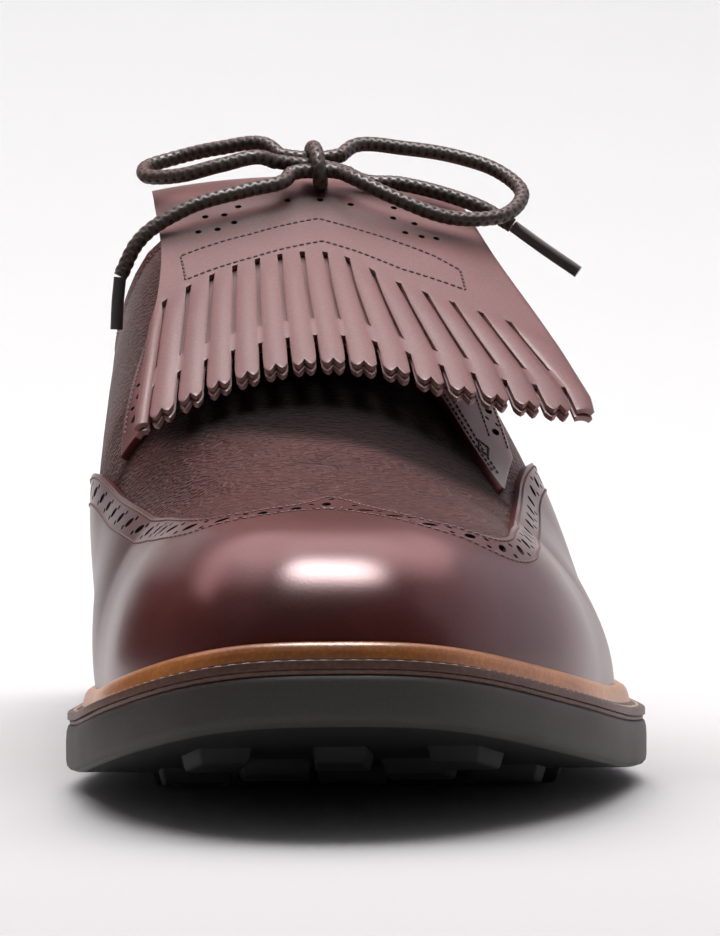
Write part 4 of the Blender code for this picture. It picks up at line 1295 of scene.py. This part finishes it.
def kiltie():
    under = kiltie_ply("kiltie_under", lift=0.0, longer=0.6, open_slits=False)
    finish_piece(under, [])
    over = kiltie_ply("kiltie_over", lift=UPPER_PLY, longer=0.0, open_slits=True)
    finish_piece(over, ["kiltie"])
    route = []
    for (share, across), (next_share, next_across) in zip(KILTIE_BOX, KILTIE_BOX[1:]):
        for t in np.linspace(0, 1, 30, endpoint=False):
            route.append((share + (next_share - share) * t, across + (next_across - across) * t))
    sewn = seats(kiltie_top, route, STITCH_PITCH, KILTIE_STITCH_LIFT)
    stitches("kiltie_stitches", sewn, STITCH, DARK_THREAD)
    holes = []
    for share, across in KILTIE_HOLES:
        point, tangent, normal = frame_at(kiltie_top, share, across)
        holes.append((seat(point, tangent, normal), KILTIE_HOLE, KILTIE_HOLE))
    punch(over, apart(holes), HOLE_SHADE)


kiltie()

# Welt with its stitches

WELT_COLUMNS = 420
WELT_FOOT = 0.2
RIB_SHOULDER = 3.6
FLANGE_ROWS = 7
WELT_SEAM = (0.78, 1.35)
WELT_STITCH = (2.5, 0.75, 0.6)
WELT_PITCH = 2.6
WELT_STITCH_TURN = 0.16
WELT_TOP = [
    (0.0, 4.6), (0.06, 5.15), (0.14, 5.5), (0.24, 5.6), (0.34, 5.5), (0.43, 5.1), (0.5, 4.4), (0.545, 3.4),
    (0.58, 2.2), (0.64, 1.4), (0.8, 1.3), (0.94, 1.25), (0.985, 1.1), (1.0, 0.8),
]


def welt_line(way):
    base = feather_up(foot_line(way)[0])
    edge = inset_edge(way, SEAT_GAP)
    floor = feather_up(edge[0])
    low = last_points(way, [share_at_height(way, base + WELT_FOOT)], CURVE_GAP)[0]
    high = last_points(way, [share_at_height(way, base + RIB_SHOULDER)], CURVE_GAP)[0]
    return base, floor, edge, low, high


def welt_point(way, share, up):
    base, floor, edge, low, high = welt_line(way)
    return np.array([*(high[:2] * (1 - share) + edge * share), base * (1 - share) + floor * share + up])


def welt():
    def column(u):
        way = round(wrap(2 * u - 1), 9)
        base, floor, edge, low, high = welt_line(way)
        ring = [np.array([low[0], low[1], base - SEAT_GAP])]
        ring += [welt_point(way, share, up) for share, up in WELT_TOP]
        ring += [np.array([*edge, floor - SEAT_GAP]), ring[0]]
        return ring[::-1]

    bm = moved_grid(WELT_COLUMNS, len(WELT_TOP) + 2, column, look=lambda row: int(row < FLANGE_ROWS))
    bmesh.ops.recalc_face_normals(bm, faces=bm.faces)
    finish_piece(object_from("storm_welt", bm, [TAN, EDGE], sharp=50), ["welt"])
    line = np.array([welt_point(way, *WELT_SEAM) for way in np.linspace(-1, 1, 1400)])
    run = run_of(line)
    places = []
    for at in np.arange(0, run[-1], WELT_PITCH):
        ahead = at_run(run, line, min(at + 1, run[-1]))
        behind = at_run(run, line, max(at - 1, 0))
        places.append(seat(at_run(run, line, at), ahead - behind, (0.0, 0.0, 1.0), WELT_STITCH_TURN))
    stitches("welt_stitches", places, WELT_STITCH, WELT_THREAD)


welt()

# Sole: midsole, outsole and heel as blocks of rounded sections, with studs below

BLOCK_COLUMNS = 150
CROSS_CELLS = 10
MIDSOLE_EDGE = 1.2
MIDSOLE_TOP = 2.1
HEEL_FRONT = 75.0
HEEL_OVERLAP = 0.3
MIDSOLE_SIDE = [(0.9, 0.0), (0.7, 0.15), (0.7, 0.75), (0.9, 0.9)]
OUTSOLE_SIDE = [
    (1.8, 0.0), (0.7, 0.35), (0.15, 1.0), (0.0, 2.0), (0.0, 5.6), (0.12, 7.4), (0.4, 8.4), (0.9, 8.8),
]
HEEL_SIDE = [(1.4, 0.0), (0.5, 0.4), (0.15, 1.1), (0.0, 3.0)]


def block(name, nodes, materials, ends, side, low, high, extra=None):
    """A solid of sections across the sole. The side's rows are inset and height over the low face."""
    def column(u):
        along = ends[0] + (ends[1] - ends[0]) * (1 - math.cos(math.pi * u)) / 2
        halves = []
        for sign in (-1, 1):
            way = way_at(min(max(along, 0.0), SHOE_LENGTH), sign)
            rows = []
            for inset, up in side:
                plan = inset_edge(way, inset)
                rows.append(np.array([*plan, low(plan[0]) + up]))
            plan = inset_edge(way, side[-1][0])
            rows.append(np.array([*plan, high(plan[0])]))
            halves.append(rows)
        medial, lateral = halves
        ring = []
        for t in np.linspace(0, 1, CROSS_CELLS, endpoint=False):
            plan = medial[0][:2] * (1 - t) + lateral[0][:2] * t
            ring.append(np.array([*plan, low(plan[0])]))
        ring += lateral
        ring += medial[::-1]
        return ring

    rows = CROSS_CELLS + 2 * (len(side) + 1) - 1

    def look(row):
        if len(materials) == 1:
            return 0
        # Painted shade: the underside takes the darker tread rubber.
        if row < CROSS_CELLS:
            return 1
        # Painted highlight: the bevel rows along the lower edge take the lighter rim rubber.
        return 2 if row in (CROSS_CELLS, rows - 1) else 0

    bm = moved_grid(BLOCK_COLUMNS, rows, column, look=look)
    bmesh.ops.holes_fill(bm, edges=[edge for edge in bm.edges if edge.is_boundary], sides=0)
    if extra:
        before = set(bm.faces)
        extra(bm)
        # Painted shade: the studs take the darker tread rubber too.
        for face in set(bm.faces) - before:
            face.material_index = 1
    bmesh.ops.recalc_face_normals(bm, faces=bm.faces)
    return finish_piece(object_from(name, bm, materials, sharp=55), nodes)


SOLE_LOOKS = [WALL_RUBBER, SHADED_TREAD_RUBBER, HIGHLIGHT_RIM_RUBBER]
LUG_LENGTH = 10.0
LUG_TAPER = 0.86
LUG_ROOT = 0.6
LUG_ROUND = 0.5
SOLE_ROWS = [284.0 - 15.0 * row for row in range(12)]
HEEL_ROWS = [69.0 - 14.0 * row for row in range(4)]
TREAD_COLUMNS = [0.0, 0.14, 0.28, 0.43, 0.57, 0.72, 0.86, 1.0]
TREAD_LUGS = [(1, 3, 5), (2, 4)]
TREAD_INSET = 0.9


def studs(rows, low):
    """Tapered studs under a block, drawn down from its lower face."""
    def grow(bm):
        for number, front in enumerate(rows):
            for cell in TREAD_LUGS[number % 2]:
                corners = []
                for along in (front, front - LUG_LENGTH):
                    pair = [inset_edge(way_at(along, side), TREAD_INSET) for side in (-1, 1)]
                    corners += [pair[0] * (1 - TREAD_COLUMNS[cell + k]) + pair[1] * TREAD_COLUMNS[cell + k]
                                for k in (0, 1)]
                middle = sum(corners) / 4
                cube = bmesh.ops.create_cube(bm, size=1.0)["verts"]
                for vert in cube:
                    plan = corners[(0 if vert.co.y < 0 else 2) + (0 if vert.co.x < 0 else 1)]
                    if vert.co.z < 0:
                        plan = middle + (plan - middle) * LUG_TAPER
                        vert.co = place((*plan, max(low(plan[0]) - LUG_DEPTH, 0.0)))
                    else:
                        vert.co = place((*plan, low(plan[0]) + LUG_ROOT))
                edges = list({edge for vert in cube for edge in vert.link_edges})
                bmesh.ops.bevel(bm, geom=edges, offset=LUG_ROUND * MM, segments=2, profile=0.5,
                                affect="EDGES", material=-1)

    return grow


def rubber_top(along):
    return rim_up(along) + RUBBER + MIDSOLE_EDGE


def heel_up(along):
    """Height of the heel's lower face, above its studs."""
    return LUG_DEPTH


block("midsole_edge", ["midsole"], [EDGE], (0.0, SHOE_LENGTH), MIDSOLE_SIDE, rubber_top,
      lambda along: rim_up(along) + RUBBER + MIDSOLE_TOP)
block("rubber_sole", ["outsole"], SOLE_LOOKS, (0.0, SHOE_LENGTH), OUTSOLE_SIDE, rim_up,
      rubber_top, studs(SOLE_ROWS, rim_up))
block("rubber_heel", ["heel"], SOLE_LOOKS, (0.0, HEEL_FRONT), HEEL_SIDE, heel_up,
      lambda along: rim_up(along) + HEEL_OVERLAP, studs(HEEL_ROWS, heel_up))

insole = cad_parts["insole"]
for slot in insole.material_slots:
    slot.material = INSOLE

# Stage and light

STUDIO_GREY = (0.09, 0.09, 0.094, 1)
FLOOR = plain("pale_floor", (0.9, 0.9, 0.905), 0.85)


def stage_plane(name, size, matrix, material):
    bm = bmesh.new()
    bm.loops.layers.uv.new("card")
    bmesh.ops.create_grid(bm, x_segments=1, y_segments=1, size=0.5, calc_uvs=True)
    bmesh.ops.scale(bm, vec=(size[0], size[1], 1.0), verts=bm.verts)
    bmesh.ops.transform(bm, matrix=matrix, verts=bm.verts)
    item = object_from(name, bm, [material])
    return item


SWEEP_FRONT = -4.0
SWEEP_START = 0.7
SWEEP_RADIUS = 1.0
SWEEP_HEIGHT = 3.0
SWEEP_WIDTH = 9.0


def sweep():
    """A floor that curves up into a backdrop behind the shoe."""
    profile = [(SWEEP_FRONT, 0.0), (SWEEP_START, 0.0)]
    for angle in np.linspace(0, math.pi / 2, 24)[1:]:
        profile.append((SWEEP_START + SWEEP_RADIUS * math.sin(angle), SWEEP_RADIUS * (1 - math.cos(angle))))
    profile.append((SWEEP_START + SWEEP_RADIUS, SWEEP_HEIGHT))
    bm = bmesh.new()
    bmesh.ops.create_grid(bm, x_segments=1, y_segments=len(profile) - 1, size=0.5)
    for vert in bm.verts:
        depth, up = profile[round((vert.co.y + 0.5) * (len(profile) - 1))]
        vert.co = (vert.co.x * SWEEP_WIDTH, depth, up)
    item = object_from("backdrop", bm, [FLOOR], sharp=60)


sweep()
BLACK = plain("dark_card", (0.01, 0.01, 0.01), 0.9)


def glow(name, colour, strength):
    material = plain(name, (0, 0, 0), 1.0)
    shader = material.node_tree.nodes["Principled BSDF"].inputs
    shader["Emission Color"].default_value = (*colour, 1.0)
    shader["Emission Strength"].default_value = strength
    return material


def fading(material):
    """Let a glow fade from the middle of its card to black at its edge."""
    tree = material.node_tree
    emission = tree.nodes["Principled BSDF"].inputs["Emission Color"]
    where = add_node(tree, "UVMap").outputs["UV"]
    away = add_node(tree, "VectorMath", {0: where, 1: (0.5, 0.5, 0.0)}, operation="DISTANCE").outputs["Value"]
    fall = add_node(tree, "MapRange", {"Value": away, "From Max": 0.5, "To Min": 1.0, "To Max": 0.0},
                    interpolation_type="SMOOTHERSTEP").outputs["Result"]
    tree.links.new(mixed(tree, fall, (0, 0, 0, 1), emission.default_value), emission)
    return material


def reflector(name, size, at, aim, material, fill=False):
    """A card that only shows in reflections, or also takes light from the shoe's surfaces."""
    turn = (Vector(aim) - Vector(at)).to_track_quat("Z", "Y").to_matrix().to_4x4()
    item = stage_plane(name, size, Matrix.Translation(at) @ turn, material)
    item.visible_camera = False
    item.visible_diffuse = fill
    item.visible_shadow = False


reflector("front_card", (2.4, 0.9), (0.0, -1.1, 0.45), (0.0, 0.0, 0.45), BLACK, fill=True)
reflector("front_floor_card", (1.6, 0.8), (0.0, -0.68, 0.004), (0.0, -0.68, 1.0), BLACK, fill=True)
reflector("side_card", (0.5, 0.15), (-0.2, 0.02, 0.075), (0.0, 0.02, 0.075), BLACK)
reflector("right_panel", (1.6, 1.0), (1.0, 0.2, 0.5), (0.0, 0.0, 0.1),
          glow("right_glow", (0.95, 0.88, 1.0), 0.8))
reflector("top_card", (10.0, 2.4), (0.0, 0.58, 1.38), (0.0, 0.0, 0.0),
          fading(glow("top_glow", (1, 0.64, 0.67), 3.4)))
reflector("highlight", (0.6, 0.9), (0.03, -0.16, 0.95), (0.0, -0.1, 0.05),
          fading(glow("soft_glow", (1, 1, 1), 42.0)))

world = bpy.data.worlds.new("studio")
world.use_nodes = True
world.node_tree.nodes["Background"].inputs["Color"].default_value = STUDIO_GREY
bpy.context.scene.world = world


def softbox(name, place_at, aim, size, power):
    """A light that the surfaces take, but that shows in no reflection."""
    data = bpy.data.lights.new(name, "AREA")
    data.shape = "RECTANGLE"
    data.size, data.size_y = size
    data.energy = power
    item = bpy.data.objects.new(name, data)
    item.location = place_at
    item.visible_glossy = False
    item.rotation_mode = "QUATERNION"
    item.rotation_quaternion = (Vector(aim) - Vector(place_at)).to_track_quat("-Z", "Y")
    bpy.context.scene.collection.objects.link(item)


softbox("top", (0.0, 0.58, 1.4), (0.0, 0.0, 0.0), (2.5, 1.3), 28.0)
softbox("backdrop", (0.0, 0.5, 2.2), (0.0, 1.7, 0.7), (2.0, 0.6), 9.0)
bpy.context.scene.view_settings.view_transform = "Standard"
